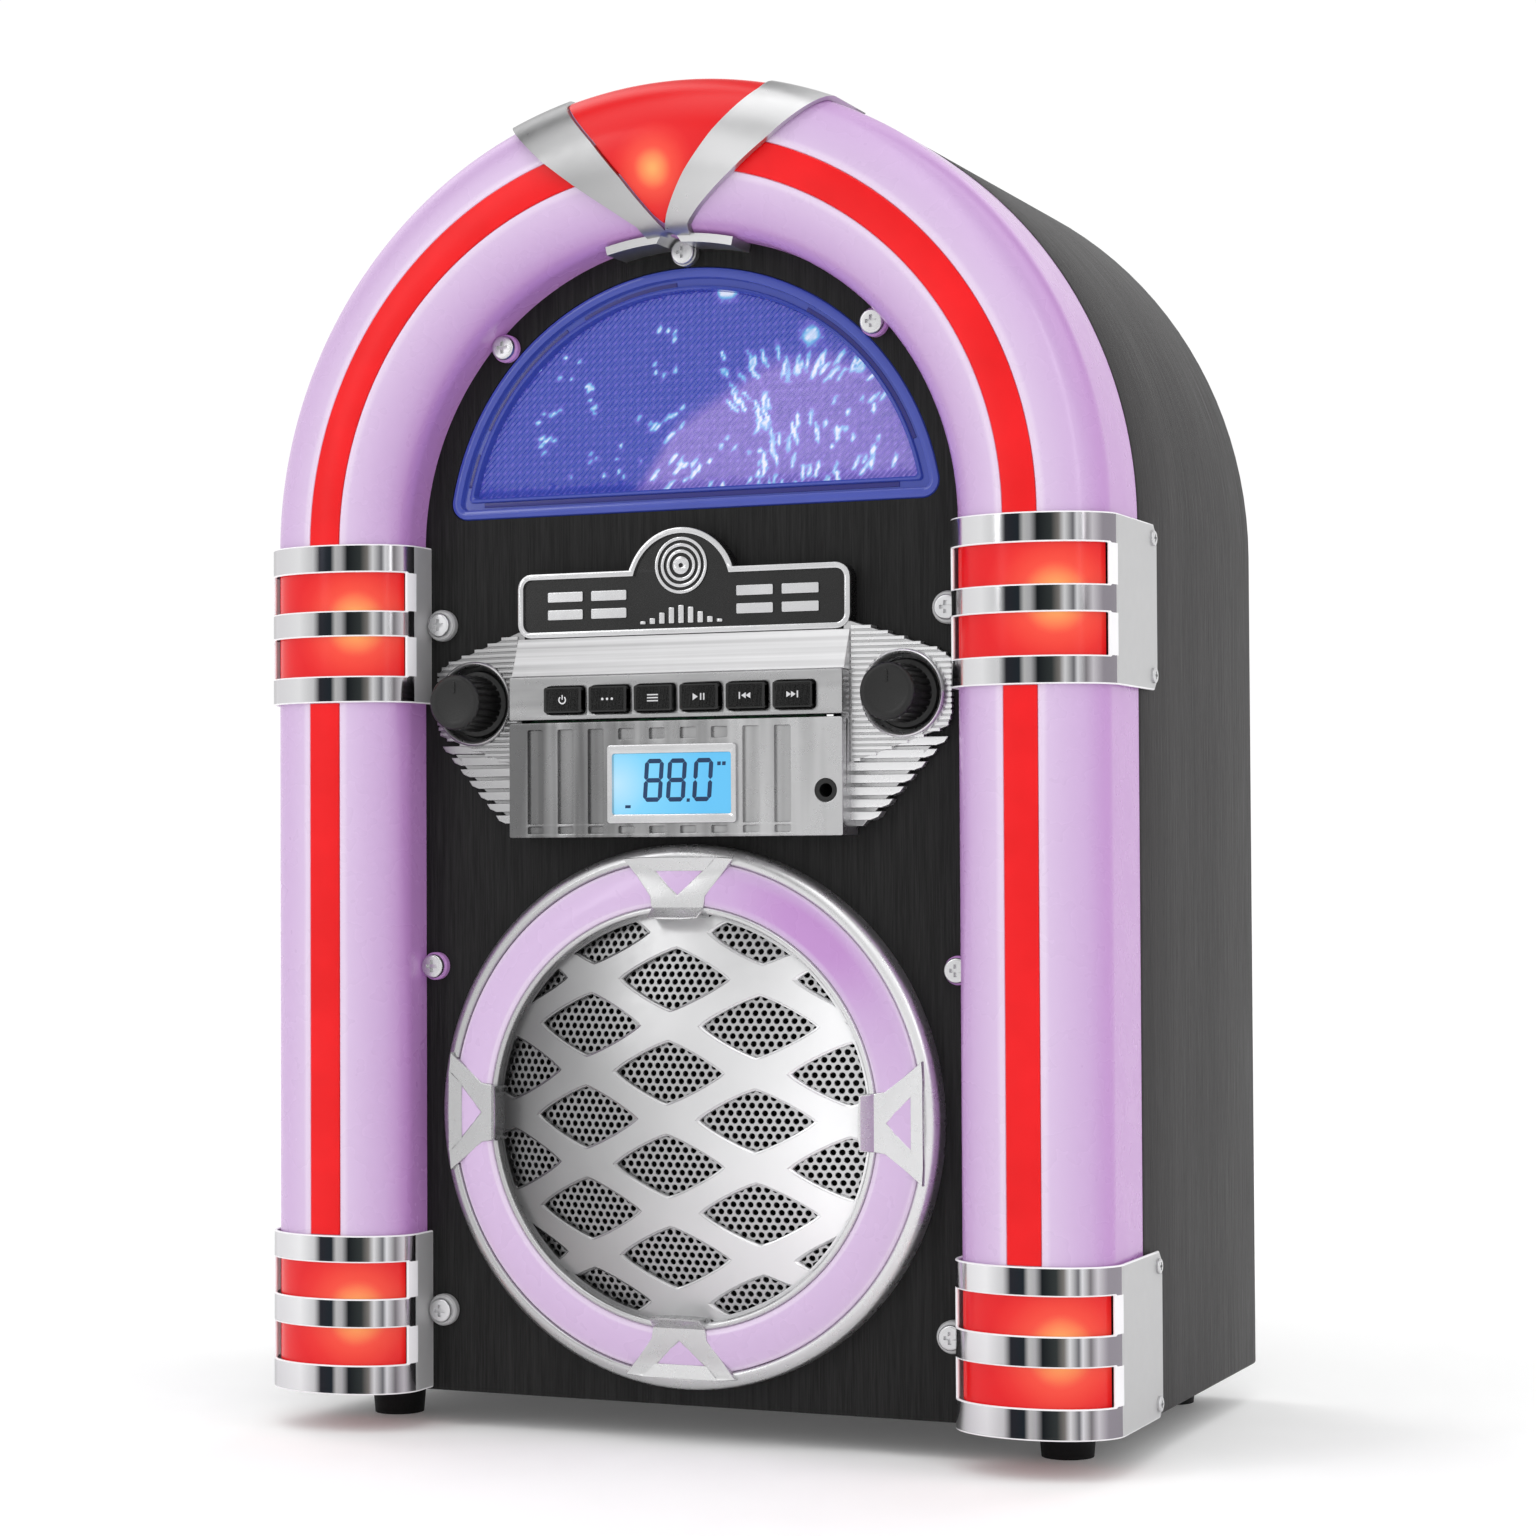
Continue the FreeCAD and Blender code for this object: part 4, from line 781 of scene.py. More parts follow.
def face_out(item, side):
    """Turns an open sheet's normals away from its tube's axis."""
    mesh = item.data
    probe = mesh.polygons[len(mesh.polygons) // 2]
    away = probe.center - Vector((side * TUBE_X, BAFFLE_Y, probe.center.z))
    if probe.normal.dot(away) < 0:
        mesh.flip_normals()


def thicken(item, thickness, soft):
    """Gives a sheet its wall and soft edges, with painted highlights on the bevels."""
    solid = item.modifiers.new("wall", "SOLIDIFY")
    solid.thickness = thickness
    solid.offset = -1
    bevel = item.modifiers.new("edges", "BEVEL")
    bevel.width = soft
    bevel.segments = 3
    bevel.limit_method = "ANGLE"
    bevel.angle_limit = math.radians(50)
    bevel.harden_normals = True
    bevel.material = PAINTED_HIGHLIGHT_SLOT


def lens_pad(name, side, windows, look):
    """The red lens behind a band's windows: pads flush with the tube, a little past each window."""
    past, deep = 0.6 * MM, 2.2 * MM
    half, depth = TUBE_HALF - 0.05 * MM, TUBE_DEPTH - 0.05 * MM
    start = 14.0
    outer = front_points(half, depth, start, 180 - start, 40)
    inner = [(u * (1 - deep / half), y + deep * 0.8) for u, y in reversed(outer)]
    pads = Patches()
    for low, high in windows:
        loops = []
        for z, inset in ((low - past, 0.3), (low - past + 0.3 * MM, 0.0),
                         (high + past - 0.3 * MM, 0.0), (high + past, 0.3)):
            ring = [(u * (1 - inset * MM / half), y + inset * MM) for u, y in outer] + inner
            loops.append(along_tube(ring, side, z=z))
        pads.skin(loops)
    return add_mesh(name, pads.points, pads.faces, look)


def band_pieces():
    for level, box in (("mid", MID_BAND), ("base", BASE_BAND)):
        windows = BAND_WINDOWS[level]
        for side, word in ((1, "right"), (-1, "left")):
            node = level + "_band_" + word
            shell = band_shell(level + "_clasp_" + word, side, box, windows)
            stand_for(shell, "cabinet", "band_plating", node)
            center = Vector((side * (box.low.x + BAND_EAR_RADIUS), BAFFLE_Y, box.mid.z))
            ear = add_mesh(level + "_clasp_ear_" + word, *ear_disc(center, BAND_EAR_RADIUS), "flank")
            stand_for(ear, "cabinet", "band_plating", node)
            middle = (windows[0][1] + windows[1][0]) / 2
            lamp = (side * TUBE_X + 9.3 * MM, TUBE_FRONT + 1.0 * MM, middle)
            look = lamp_plastic(level + " lamp lens " + word, lamp, 0.020)
            lens = lens_pad(level + "_pad_" + word, side, windows, look)
            stand_for(lens, "cabinet", "red_lens", level + "_lens_" + word)


band_pieces()


# ---------------------------------------------------------------- plates and turned pieces

def along_line(line, place):
    """The value of a line of (place, value) points at a place, held at both ends."""
    for (start, first), (end, last) in zip(line, line[1:]):
        if place <= end:
            return first + (last - first) * max(0.0, (place - start) / (end - start))
    return line[-1][1]


def at(x, y, z):
    """A point in millimetres: across, back from the baffle's face, and up."""
    return Vector((x * MM, BAFFLE_Y + y * MM, z * MM))


def wound(loop, left):
    """The loop, run so that the plate lies on its left or on its right."""
    area = sum(a[0] * b[1] - b[0] * a[1] for a, b in zip(loop, loop[1:] + loop[:1]))
    return loop if (area > 0) == left else loop[::-1]


def moved_in(loop, distance):
    """The loop with each edge moved to its left."""
    moved = []
    for before, here, after in zip(loop[-1:] + loop[:-1], loop, loop[1:] + loop[:1]):
        first = Vector((before[1] - here[1], here[0] - before[0])).normalized()
        second = Vector((here[1] - after[1], after[0] - here[0])).normalized()
        step = (first + second) * (distance / max(0.3, 1 + first.dot(second)))
        moved.append((here[0] + step.x, here[1] + step.y))
    return moved


def plate_mesh(loops, front, back, soft, lift=None):
    """Points and faces of a plate in millimetres: an outline and its holes, with soft edges."""
    points, faces, fronts, backs = [], [], [], []
    for index, loop in enumerate(loops):
        loop = wound(loop, index == 0)
        start, count = len(points), len(loop)
        for inset, depth in ((soft, 0.0), (soft * 0.3, soft * 0.3), (0.0, soft), (0.0, back - front)):
            points += [(x, front + depth, z) for x, z in moved_in(loop, inset)]
        for step in range(3 * count):
            ring, here = divmod(step, count)
            a, b = start + ring * count + here, start + ring * count + (here + 1) % count
            faces.append((a, b, b + count, a + count))
        fronts.append(list(range(start, start + count)))
        backs.append(list(range(start + 3 * count, start + 4 * count)))
    for group in (fronts, backs):
        order = [index for ring in group for index in ring]
        flat = [[Vector((points[index][0], points[index][2], 0)) for index in ring] for ring in group]
        faces += [tuple(order[index] for index in corner) for corner in tessellate_polygon(flat)]
    if lift:
        points = [(x, y + lift(x, z) * (back - y) / (back - front), z) for x, y, z in points]
    return points, faces


def plate(name, loops, *rest):
    """One plate: an outline and its holes."""
    return plates(name, [loops], *rest)


def plates(name, outlines, front, back, soft, look, lift=None):
    """Several separate plates as one piece."""
    parts = Patches()
    for loops in outlines:
        parts.take(*plate_mesh(loops, front, back, soft, lift))
    item = add_mesh(name, [at(*point) for point in parts.points], parts.faces, look)
    item.modifiers.new("flat", "WEIGHTED_NORMAL").keep_sharp = True
    return item


def rectangle(x0, x1, z0, z1, corner=0.0, steps=5):
    if not corner:
        return [(x0, z0), (x1, z0), (x1, z1), (x0, z1)]
    points = []
    for x, z, start in ((x1 - corner, z0 + corner, -90), (x1 - corner, z1 - corner, 0),
                        (x0 + corner, z1 - corner, 90), (x0 + corner, z0 + corner, 180)):
        for step in range(steps + 1):
            turn = math.radians(start + 90 * step / steps)
            points.append((x + corner * math.cos(turn), z + corner * math.sin(turn)))
    return points


def circle(x, z, radius, steps=32):
    return [(x + radius * math.cos(math.tau * step / steps), z + radius * math.sin(math.tau * step / steps))
            for step in range(steps)]


def turned(name, profile, x, z, look, steps=96, flutes=0, depth=0.0, sharp=32):
    """A closed profile of (radius, y) turned about an axis along y; True after y adds flutes."""
    loops = []
    for radius, y, *fluted in profile:
        ring = []
        for step in range(steps):
            turn = math.tau * step / steps
            size = radius
            if fluted:
                size -= depth * max(0.0, math.cos(turn * flutes)) ** 0.7
            ring.append(at(x + size * math.sin(turn), y, z + size * math.cos(turn)))
        loops.append(ring)
    return lofted(name, loops, look, sharp, ring=True)


# ---------------------------------------------------------------- loudspeaker grille

SPEAKER_MM = SPEAKER.z / MM
SPHERE, APEX = 152.0, -15.8
GRILLE_RADIUS = 54.8
OPEN_RADIUS = 53.2
CELL = (24.4, 12.2)
OPENING = (15.0, 7.85)
SHEET_RADIUS = 53.2
CLASP_FRONT = -8.0


def cap_depth(x, z, apex=APEX):
    """y of the grille's shallow dome at a point measured from its centre."""
    return apex + SPHERE - math.sqrt(SPHERE ** 2 - x * x - z * z)


def pulled_in(x, z, radius):
    reach = math.hypot(x, z)
    return (x, z) if reach <= radius else (x * radius / reach, z * radius / reach)


def diamond_ring(half_width, half_height, corner, count=48):
    """A diamond with rounded corners, as `count` points that start at its right corner."""
    points = []
    quarter = count // 4
    for step in range(count):
        turn, share = divmod(step, quarter)
        share /= quarter
        corners = ((1, 0), (0, 1), (-1, 0), (0, -1), (1, 0))
        (x0, z0), (x1, z1) = corners[turn:turn + 2]
        across, up = x0 + (x1 - x0) * share, z0 + (z1 - z0) * share
        power = 1.0 + corner
        size = (abs(across) ** power + abs(up) ** power) ** (-1 / power)
        points.append((size * across * half_width, size * up * half_height))
    return points


def lattice_cells():
    for column_index in range(-3, 4):
        offset = 0.0 if column_index % 2 else CELL[1]
        for row in range(-4, 5):
            x, z = column_index * CELL[0], row * 2 * CELL[1] + offset
            nearest = min(math.hypot(x + u, z + w) for u, w in diamond_ring(*CELL, 0.0))
            if nearest < GRILLE_RADIUS - 0.1:
                yield x, z


def rim_patch(ring):
    """A diamond that reaches the rim: its points inside the rim, closed along the rim's arc."""
    count = len(ring)
    inside = [math.hypot(x, z) <= GRILLE_RADIUS for x, z in ring]
    start = next(step for step in range(count) if inside[step] and not inside[step - 1])
    run = [ring[(start + step) % count] for step in range(sum(inside))]
    first, last = (math.atan2(z, x) for x, z in (run[0], run[-1]))
    turn = (first - last + math.pi) % math.tau - math.pi
    turns = [last + turn * step / 8 for step in range(9)]
    return run + [(GRILLE_RADIUS * math.cos(turn), GRILLE_RADIUS * math.sin(turn)) for turn in turns]


def lattice():
    """The domed lattice: one ring of faces round each diamond, stepped down at its edge."""
    count = 48
    edge = diamond_ring(CELL[0], CELL[1], 0.0, count)
    steps = ((16.3, 8.6, 0.0), (16.0, 8.4, 0.22), (15.35, 8.05, 0.42), (15.05, 7.9, 0.7), (*OPENING, 1.6))
    cells = Patches()
    for x, z in lattice_cells():
        opening = diamond_ring(*OPENING, 0.16, count)
        if min(math.hypot(x + u, z + w) for u, w in opening) >= OPEN_RADIUS - 0.5:
            patch = rim_patch([(x + u, z + w) for u, w in edge])
            cells.take([at(u, cap_depth(u, w), SPEAKER_MM + w) for u, w in patch], [range(len(patch))])
            continue
        rings = [(edge, GRILLE_RADIUS, 0.0), (diamond_ring(19.2, 9.9, 0.08, count), OPEN_RADIUS + 0.3, 0.0)]
        rings += [(diamond_ring(half_width, half_height, 0.16, count), OPEN_RADIUS, drop)
                  for half_width, half_height, drop in steps]
        loops = []
        for ring, radius, drop in rings:
            flat = [pulled_in(x + u, z + w, radius) for u, w in ring]
            loops.append([at(u, cap_depth(u, w) + drop, SPEAKER_MM + w) for u, w in flat])
        cells.skin(loops, caps=False)
    item = add_mesh("grille_lattice", cells.points, cells.faces, "grille", 24)
    drop_flat_faces(item)
    return item


def drop_flat_faces(item):
    work = bmesh.new()
    work.from_mesh(item.data)
    bmesh.ops.dissolve_degenerate(work, edges=work.edges, dist=1e-6)
    slivers = [face for face in work.faces if face.calc_area() < 1e-11]
    bmesh.ops.delete(work, geom=slivers, context="FACES")
    work.to_mesh(item.data)
    work.free()


def perforated_cell(x, z, pitch, hole):
    """The loops of one six-sided cell, from its edge in to its hole and back through the sheet."""
    loops = []
    for radius, drop in ((None, 0.0), (hole + 0.08, 0.0), (hole, 0.1), (hole, 0.6)):
        loop = []
        for corner in range(12):
            turn = math.radians(30 + corner * 30)
            size = radius
            if radius is None:
                size = pitch / math.sqrt(3) * (1.0 if corner % 2 == 0 else math.cos(math.pi / 6))
            u, w = x + size * math.cos(turn), z + size * math.sin(turn)
            loop.append(at(u, cap_depth(u, w, APEX + 1.75) + drop, SPEAKER_MM + w))
        loops.append(loop)
    return loops


def perforated_sheet():
    """The sheet behind the lattice, with staggered rows of round holes."""
    pitch, hole = 2.3, 0.76
    cells = Patches()
    for row in range(-27, 28):
        z = row * pitch * math.sqrt(3) / 2
        for step in range(-24, 25):
            x = (step + (row % 2) / 2) * pitch
            if math.hypot(x, z) <= SHEET_RADIUS:
                cells.skin(perforated_cell(x, z, pitch, hole), caps=False)
    return add_mesh("grille_sheet", cells.points, cells.faces, "mesh", 40)


def clasp_lift(_, z):
    """How far a clasp's front is moved back at a height: it follows the diffuser and the ring."""
    slope = ((52.4, -12.4), (55.2, -8.4), (58.3, -8.4), (61.6, -7.95), (64.9, -7.25), (67.0, -6.8),
             (68.6, -8.0))
    return along_line(slope, z - SPEAKER_MM) - CLASP_FRONT


def clasp_outline():
    side = [(16.0, 68.4), (12.0, 63.4), (8.1, 58.4), (7.6, 55.4), (7.3, 52.6)]
    outer = side + [(3.0, 52.3), (-3.0, 52.3)] + [(-x, r) for x, r in reversed(side)]
    outer += [(-10.6, 68.8), (10.6, 68.8)]
    opening = [(0.0, 58.9), (3.4, 62.1), (7.0, 65.5), (9.8, 68.2), (-9.8, 68.2), (-7.0, 65.5), (-3.4, 62.1)]
    return [[(x, SPEAKER_MM + r) for x, r in loop] for loop in (outer, opening)]


def spun(points, degrees):
    """Points turned round the loudspeaker's axis."""
    turn = Matrix.Rotation(math.radians(degrees), 4, "Y")
    return [SPEAKER + turn @ (point - SPEAKER) for point in points]


def clasps():
    points, faces = plate_mesh(clasp_outline(), CLASP_FRONT, -4.5, 0.5, clasp_lift)
    points = [at(*point) for point in points]
    four = Patches()
    for degrees in (0, 90, 180, 270):
        four.take(spun(points, degrees), faces)
    item = add_mesh("grille_clasps", four.points, four.faces, "clasp", 40)
    item.modifiers.new("flat", "WEIGHTED_NORMAL").keep_sharp = True
    return item


def loudspeaker_pieces():
    ring = turned("grille_ring", [(68.0, -0.1), (68.0, -5.7), (68.3, -6.3), (68.9, -6.6), (69.8, -6.4),
                                  (70.8, -5.9), (71.6, -5.1), (72.1, -4.2), (72.2, -3.4), (72.2, -0.1)],
                  0, SPEAKER_MM, "ring", 180, sharp=50)
    collar = turned("grille_collar", [(54.2, -0.1), (54.2, -7.2), (54.5, -7.9), (55.0, -8.2), (55.6, -8.1),
                                      (56.0, -7.7), (56.0, -0.1)], 0, SPEAKER_MM, "ring", 160, sharp=50)
    for item in (lattice(), clasps(), ring, collar):
        stand_for(item, "cabinet", "satin_plating", "grille_frame")
    stand_for(perforated_sheet(), "cabinet", "mesh_steel", "grille_mesh")
    soft = turned("diffuser_ring", [(56.1, -0.1), (56.1, -7.2), (56.5, -7.7), (58.2, -8.0), (61.0, -7.95),
                                    (64.4, -7.3), (66.9, -6.6), (67.5, -6.2), (67.8, -5.8), (67.8, -0.1)],
                  0, SPEAKER_MM, "lilac", 180, sharp=50)
    # Painted shade and highlight: this value makes the diffuser's colour deeper towards its upper right and pale
    # along both of its edges.
    values = soft.data.attributes.new("across", "FLOAT", "POINT")
    for vertex in soft.data.vertices:
        reach = (vertex.co - SPEAKER).xz.length / MM
        turn = math.degrees(math.atan2(vertex.co.z - SPEAKER.z, vertex.co.x))
        deep = 0.42 + 0.6 * math.exp(-((turn - 52) / 34) ** 2)
        values.data[vertex.index].value = deep * (1 - 0.9 * min(1.0, abs((reach - 62.0) / 5.8)) ** 8)
    stand_for(soft, "cabinet", "lilac_tube", "ring_diffuser")


loudspeaker_pieces()


# ---------------------------------------------------------------- dome window

DOME_RADIUS, DOME_FLAT, DOME_CORNER = 72.5, 248.6, 4.6
PRISM_INSET = 6.0
ARCH_MM = ARCH_Z / MM


def dome_loop(inset, steps=64):
    """The dome window's outline moved inwards: a flat foot, two small corners and an arc."""
    radius, flat, corner = DOME_RADIUS - inset, DOME_FLAT + inset, max(DOME_CORNER - inset, 1.0)
    height = flat + corner - ARCH_MM
    across = math.sqrt((radius - corner) ** 2 - height ** 2)
    start = math.degrees(math.atan2(height, across))
    loop = []
    for step in range(9):
        turn = math.radians(-90 + (90 + start) * step / 8)
        loop.append((across + corner * math.cos(turn), flat + corner + corner * math.sin(turn)))
    for step in range(1, steps):
        turn = math.radians(start + (180 - 2 * start) * step / steps)
        loop.append((radius * math.cos(turn), ARCH_MM + radius * math.sin(turn)))
    return loop + [(-x, z) for x, z in reversed(loop[:9])]


def dome_tray():
    """The blue rim and its trough: nested outlines, each at its own depth."""
    steps = ((0.0, 6.0), (0.0, 0.3), (0.25, -0.2), (0.8, -0.4), (2.2, -0.4), (2.6, -0.1), (2.9, 1.4),
             (4.6, 1.4), (4.9, 0.4), (5.4, 0.2), (5.8, 0.6), (6.0, 4.6))
    loops = [[at(x, y, z) for x, z in dome_loop(inset)] for inset, y in steps]
    return lofted("dome_rim", loops, "rim", 40, caps=False)


def dome_slots():
    """Dark slots moulded in the trough: three along the left of the arc and one under it."""
    outlines = []
    for first, last in ((93, 117), (122, 152), (158, 166), (20, 60)):
        outer, inner = [], []
        for step in range(13):
            turn = math.radians(first + (last - first) * step / 12)
            outer.append((68.9 * math.cos(turn), ARCH_MM + 68.9 * math.sin(turn)))
            inner.append((67.5 * math.cos(turn), ARCH_MM + 67.5 * math.sin(turn)))
        outlines.append([outer + inner[::-1]])
    outlines.append([rectangle(-62, 60, 251.9, 253.2)])
    return plates("dome_slots", outlines, 1.1, 1.5, 0.12, "trough")


def streaks():
    """Painted glints, sparkling streaks on the prism sheet: middle, half length, half width, slope, strength."""
    chance = random.Random(7)
    groups = (((23.1, 287.0), 7, 3, 2.6, 105, 7), ((33.0, 284.5), 7, 3, 2.8, 75, 9),
              ((44.0, 285.0), 6, 3, 2.4, 55, 9), ((54.0, 279.0), 3, 4, 1.8, 40, 5),
              ((14.0, 281.0), 4, 5, 2.2, 125, 7), ((20.0, 273.0), 2, 4, 2.4, 110, 6),
              ((29.0, 268.0), 8, 4, 2.3, 95, 12), ((31.0, 257.5), 12, 4, 1.9, 85, 16),
              ((52.0, 260.0), 6, 3, 1.7, 65, 9), ((-6.0, 259.5), 8, 5, 1.6, 50, 15),
              ((-10.0, 272.0), 7, 5, 1.6, 45, 10), ((-29.0, 279.0), 3, 6, 0.9, 20, 8),
              ((-43.0, 272.0), 4, 6, 0.9, 30, 12), ((-9.0, 292.0), 4, 7, 1.0, 70, 8),
              ((9.0, 287.0), 2, 3, 1.4, 120, 4), ((46.0, 270.0), 8, 7, 1.2, 75, 14),
              ((12.0, 262.0), 8, 7, 1.0, 70, 14), ((-40.0, 290.0), 8, 6, 0.7, 40, 6),
              ((-24.0, 262.0), 14, 6, 0.7, 60, 10))
    for (x, z), spread_x, spread_z, length, slope, count in groups:
        for _ in range(count):
            turn = math.radians(slope + chance.uniform(-14, 14))
            yield (x + chance.uniform(-1, 1) * spread_x, z + chance.uniform(-1, 1) * spread_z,
                   length * chance.uniform(0.7, 1.3), 0.55, turn, chance.uniform(0.6, 1.0))
    # Three single painted glints, larger and brighter.
    yield 10.1, 306.9, 2.8, 2.0, 0.0, 1.0
    yield 34.3, 293.6, 2.8, 2.6, 0.6, 0.78
    yield 48.5, 284.5, 2.4, 1.6, 0.9, 0.62


def fan_share(x, z):
    """How violet the sheet is: a fan low on the right, with a soft edge."""
    edge = ((-18, 254), (-5, 272), (9, 280), (21.6, 287.4), (40, 289), (58, 281), (72, 270))
    for (x0, z0), (x1, z1) in zip(edge, edge[1:]):
        if x0 <= x < x1:
            return min(1.0, max(0.0, (z0 + (z1 - z0) * (x - x0) / (x1 - x0) - z) / 9 + 0.5))
    return 0.0


def painted_glint_grid(left, low, pitch, columns, rows):
    """How bright the painted glints are at each point of the prism sheet's grid."""
    painted_glint = [[0.0] * (columns + 1) for _ in range(rows + 1)]
    for x, z, length, width, turn, power in streaks():
        c, s = math.cos(turn), math.sin(turn)
        reach = int((length + 1.5) / pitch) + 1
        i0, k0 = int((x - left) / pitch), int((z - low) / pitch)
        for k in range(max(0, k0 - reach), min(rows, k0 + reach) + 1):
            for i in range(max(0, i0 - reach), min(columns, i0 + reach) + 1):
                u, w = left + i * pitch - x, low + k * pitch - z
                along, off = (u * c + w * s) / length, (w * c - u * s) / width
                painted_glint[k][i] = max(painted_glint[k][i], power * math.exp(-(along ** 4) - off * off))
    return painted_glint


def prism_points(left, low, pitch, columns, rows):
    """The sheet's points, raised at every other one, and the (fan, painted glint) value of each."""
    points, values = [], []
    painted_glint = painted_glint_grid(left, low, pitch, columns, rows)
    chance = random.Random(3)
    for k in range(rows + 1):
        for i in range(columns + 1):
            x, z = left + i * pitch, low + k * pitch
            radius = DOME_RADIUS - PRISM_INSET
            reach = math.hypot(x, z - ARCH_MM)
            if reach > radius:
                x, z = x * radius / reach, ARCH_MM + (z - ARCH_MM) * radius / reach
            raised = 0.35 if (i + k) % 2 else 0.0
            points.append(at(x, 3.6 - raised + 0.1 * chance.random(), z))
            share = fan_share(x, z)
            dots = 0.24 if (i % 3 == 0 and k % 3 == 0) else 0.0
            values.append((share, min(1.0, painted_glint[k][i] + dots + 0.12 * chance.random() * (0.4 + share))))
    return points, values


def prism_relief():
    """The prism sheet as rows of small pyramids, with its colours stored on its points."""
    pitch = 0.75
    columns, rows = int(136 / pitch), int(64 / pitch)
    points, values = prism_points(-68.0, DOME_FLAT + PRISM_INSET, pitch, columns, rows)
    corners = [k * (columns + 1) + i for k in range(rows) for i in range(columns)]
    faces = [(a, a + 1, a + columns + 2, a + columns + 1) for a in corners]
    mesh = bpy.data.meshes.new("dome_relief")
    mesh.from_pydata([tuple(p) for p in points], [], faces)
    for index, name in enumerate(("fan", "painted_glint")):
        layer = mesh.attributes.new(name, "FLOAT", "POINT")
        layer.data.foreach_set("value", [pair[index] for pair in values])
    work = bmesh.new()
    work.from_mesh(mesh)
    bmesh.ops.dissolve_degenerate(work, edges=work.edges, dist=1e-5)
    bmesh.ops.recalc_face_normals(work, faces=work.faces)
    work.to_mesh(mesh)
    work.free()
    mesh.materials.append(LOOKS["prism"])
    item = bpy.data.objects.new("dome_relief", mesh)
    bpy.context.scene.collection.objects.link(item)
    face_front(item)
    return item


def face_front(item):
    if sum(polygon.normal.y for polygon in item.data.polygons) > 0:
        item.data.flip_normals()


def dome_pieces():
    stand_for(dome_tray(), "cabinet", "blue_lens", "dome_lens")
    stand_for(dome_slots(), "cabinet", "blue_lens", "dome_lens")
    stand_for(prism_relief(), "cabinet", "prism_film", "dome_prism_sheet")


dome_pieces()


# ---------------------------------------------------------------- nameplate

def nameplate_loop(inset):
    """A bar with rounded corners and a round bump on its top."""
    half, low, high, corner = 48.5 - inset, 214.9 + inset, 232.4 - inset, 4.0 - inset
    radius, middle = 16.0 - inset, 227.4
    start = math.asin((high - middle) / radius)
    bar = rectangle(-half, half, low, high, max(corner, 0.6))
    count = len(bar) // 4
    bump = []
    for step in range(33):
        turn = start + (math.pi - 2 * start) * step / 32
        bump.append((radius * math.cos(turn), middle + radius * math.sin(turn)))
    return bar[:2 * count] + bump + bar[2 * count:]


def nameplate_pieces():
    body = plate("nameplate_body", [nameplate_loop(0.25)], -4.6, -0.05, 0.2, "gloss")
    stand_for(body, "cabinet", "nameplate_black", "nameplate")
    border = plate("nameplate_border", [nameplate_loop(0), nameplate_loop(1.7)], -5.5, -4.4, 0.35, "trim")
    bars = [[rectangle(x - 5.25, x + 5.25, z - 1.35, z + 1.35, 0.3, 2)]
            for x in (-34.3, -21.3, 21.3, 34.3) for z in (221.1, 225.9)]
    levels = [[rectangle(x - 0.8, x + 0.8, 217.8, 218.6 + 4.0 * math.cos(x / 7.5) ** 2, 0.2, 2)]
              for x in (-11.2, -8.4, -5.6, -2.8, 0.0, 2.8, 5.6, 8.4, 11.2)]
    rings = [[circle(0, 233.2, radius, 48), circle(0, 233.2, radius - width, 48)]
             for radius, width in ((7.6, 0.9), (5.9, 0.9), (4.2, 0.9), (2.4, 1.8))]
    marks = plates("nameplate_marks", bars + levels + rings, -5.1, -4.5, 0.14, "trim")
    for item in (border, marks):
        stand_for(item, "cabinet", "plate_trim", "nameplate_trim")


nameplate_pieces()


# ---------------------------------------------------------------- buttons, display and knobs

BUTTONS = ("power", "mode", "memory", "play", "previous", "next")
LEGEND_PROUD = 0.03 * MM


def triangle(x, z, size):
    """Points right when size is positive, left when it's negative."""
    return [(x - size / 2, z - abs(size) * 0.62), (x + size / 2, z), (x - size / 2, z + abs(size) * 0.62)]


def legend_shapes(name, x, z):
    bar = [rectangle(x + 1.35, x + 1.75, z - 0.9, z + 0.9)]
    if name == "power":
        arc = [(x + r * math.sin(t), z + r * math.cos(t)) for r, order in ((1.15, 1), (0.8, -1))
               for t in [math.radians(40 + 280 * step / 16) for step in range(17)][::order]]
        return [[arc], [rectangle(x - 0.17, x + 0.17, z + 0.1, z + 1.35)]]
    if name == "mode":
        return [[circle(x + step, z, 0.36, 12)] for step in (-1.4, 0, 1.4)]
    if name == "memory":
        return [[rectangle(x - 1.6, x + 1.6, z + step - 0.17, z + step + 0.17)] for step in (-0.8, 0, 0.8)]
    if name == "play":
        return [[triangle(x - 0.9, z, 1.5)], [rectangle(x + 0.45, x + 0.85, z - 0.9, z + 0.9)], bar]
    side = -1 if name == "previous" else 1
    shapes = [[triangle(x - 0.9 * side, z, 1.3 * side)], [triangle(x + 0.4 * side, z, 1.3 * side)]]
    low, high = sorted((x + 1.35 * side, x + 1.75 * side))
    return shapes + [[rectangle(low, high, z - 0.9, z + 0.9)]]


def button_pieces():
    for name in BUTTONS:
        box = Box("button_" + name)
        x, z = box.mid.x / MM, box.mid.z / MM
        cap = plate(name + "_cap", [rectangle(x - 5.5, x + 5.5, z - 3.4, z + 3.4, 0.8)],
                    -12.8, -8.6, 0.4, "gloss")
        stand_for(cap, "button_" + name, "black_plastic")
        legend = plates(name + "_legend", legend_shapes(name, x, z), -12.79, -12.3, 0.01, "legend")
        for vertex in legend.data.vertices:
            vertex.co.y -= LEGEND_PROUD if vertex.co.y < BAFFLE_Y - 12.7 * MM else 0
        stand_for(legend, "button_" + name, "black_plastic")


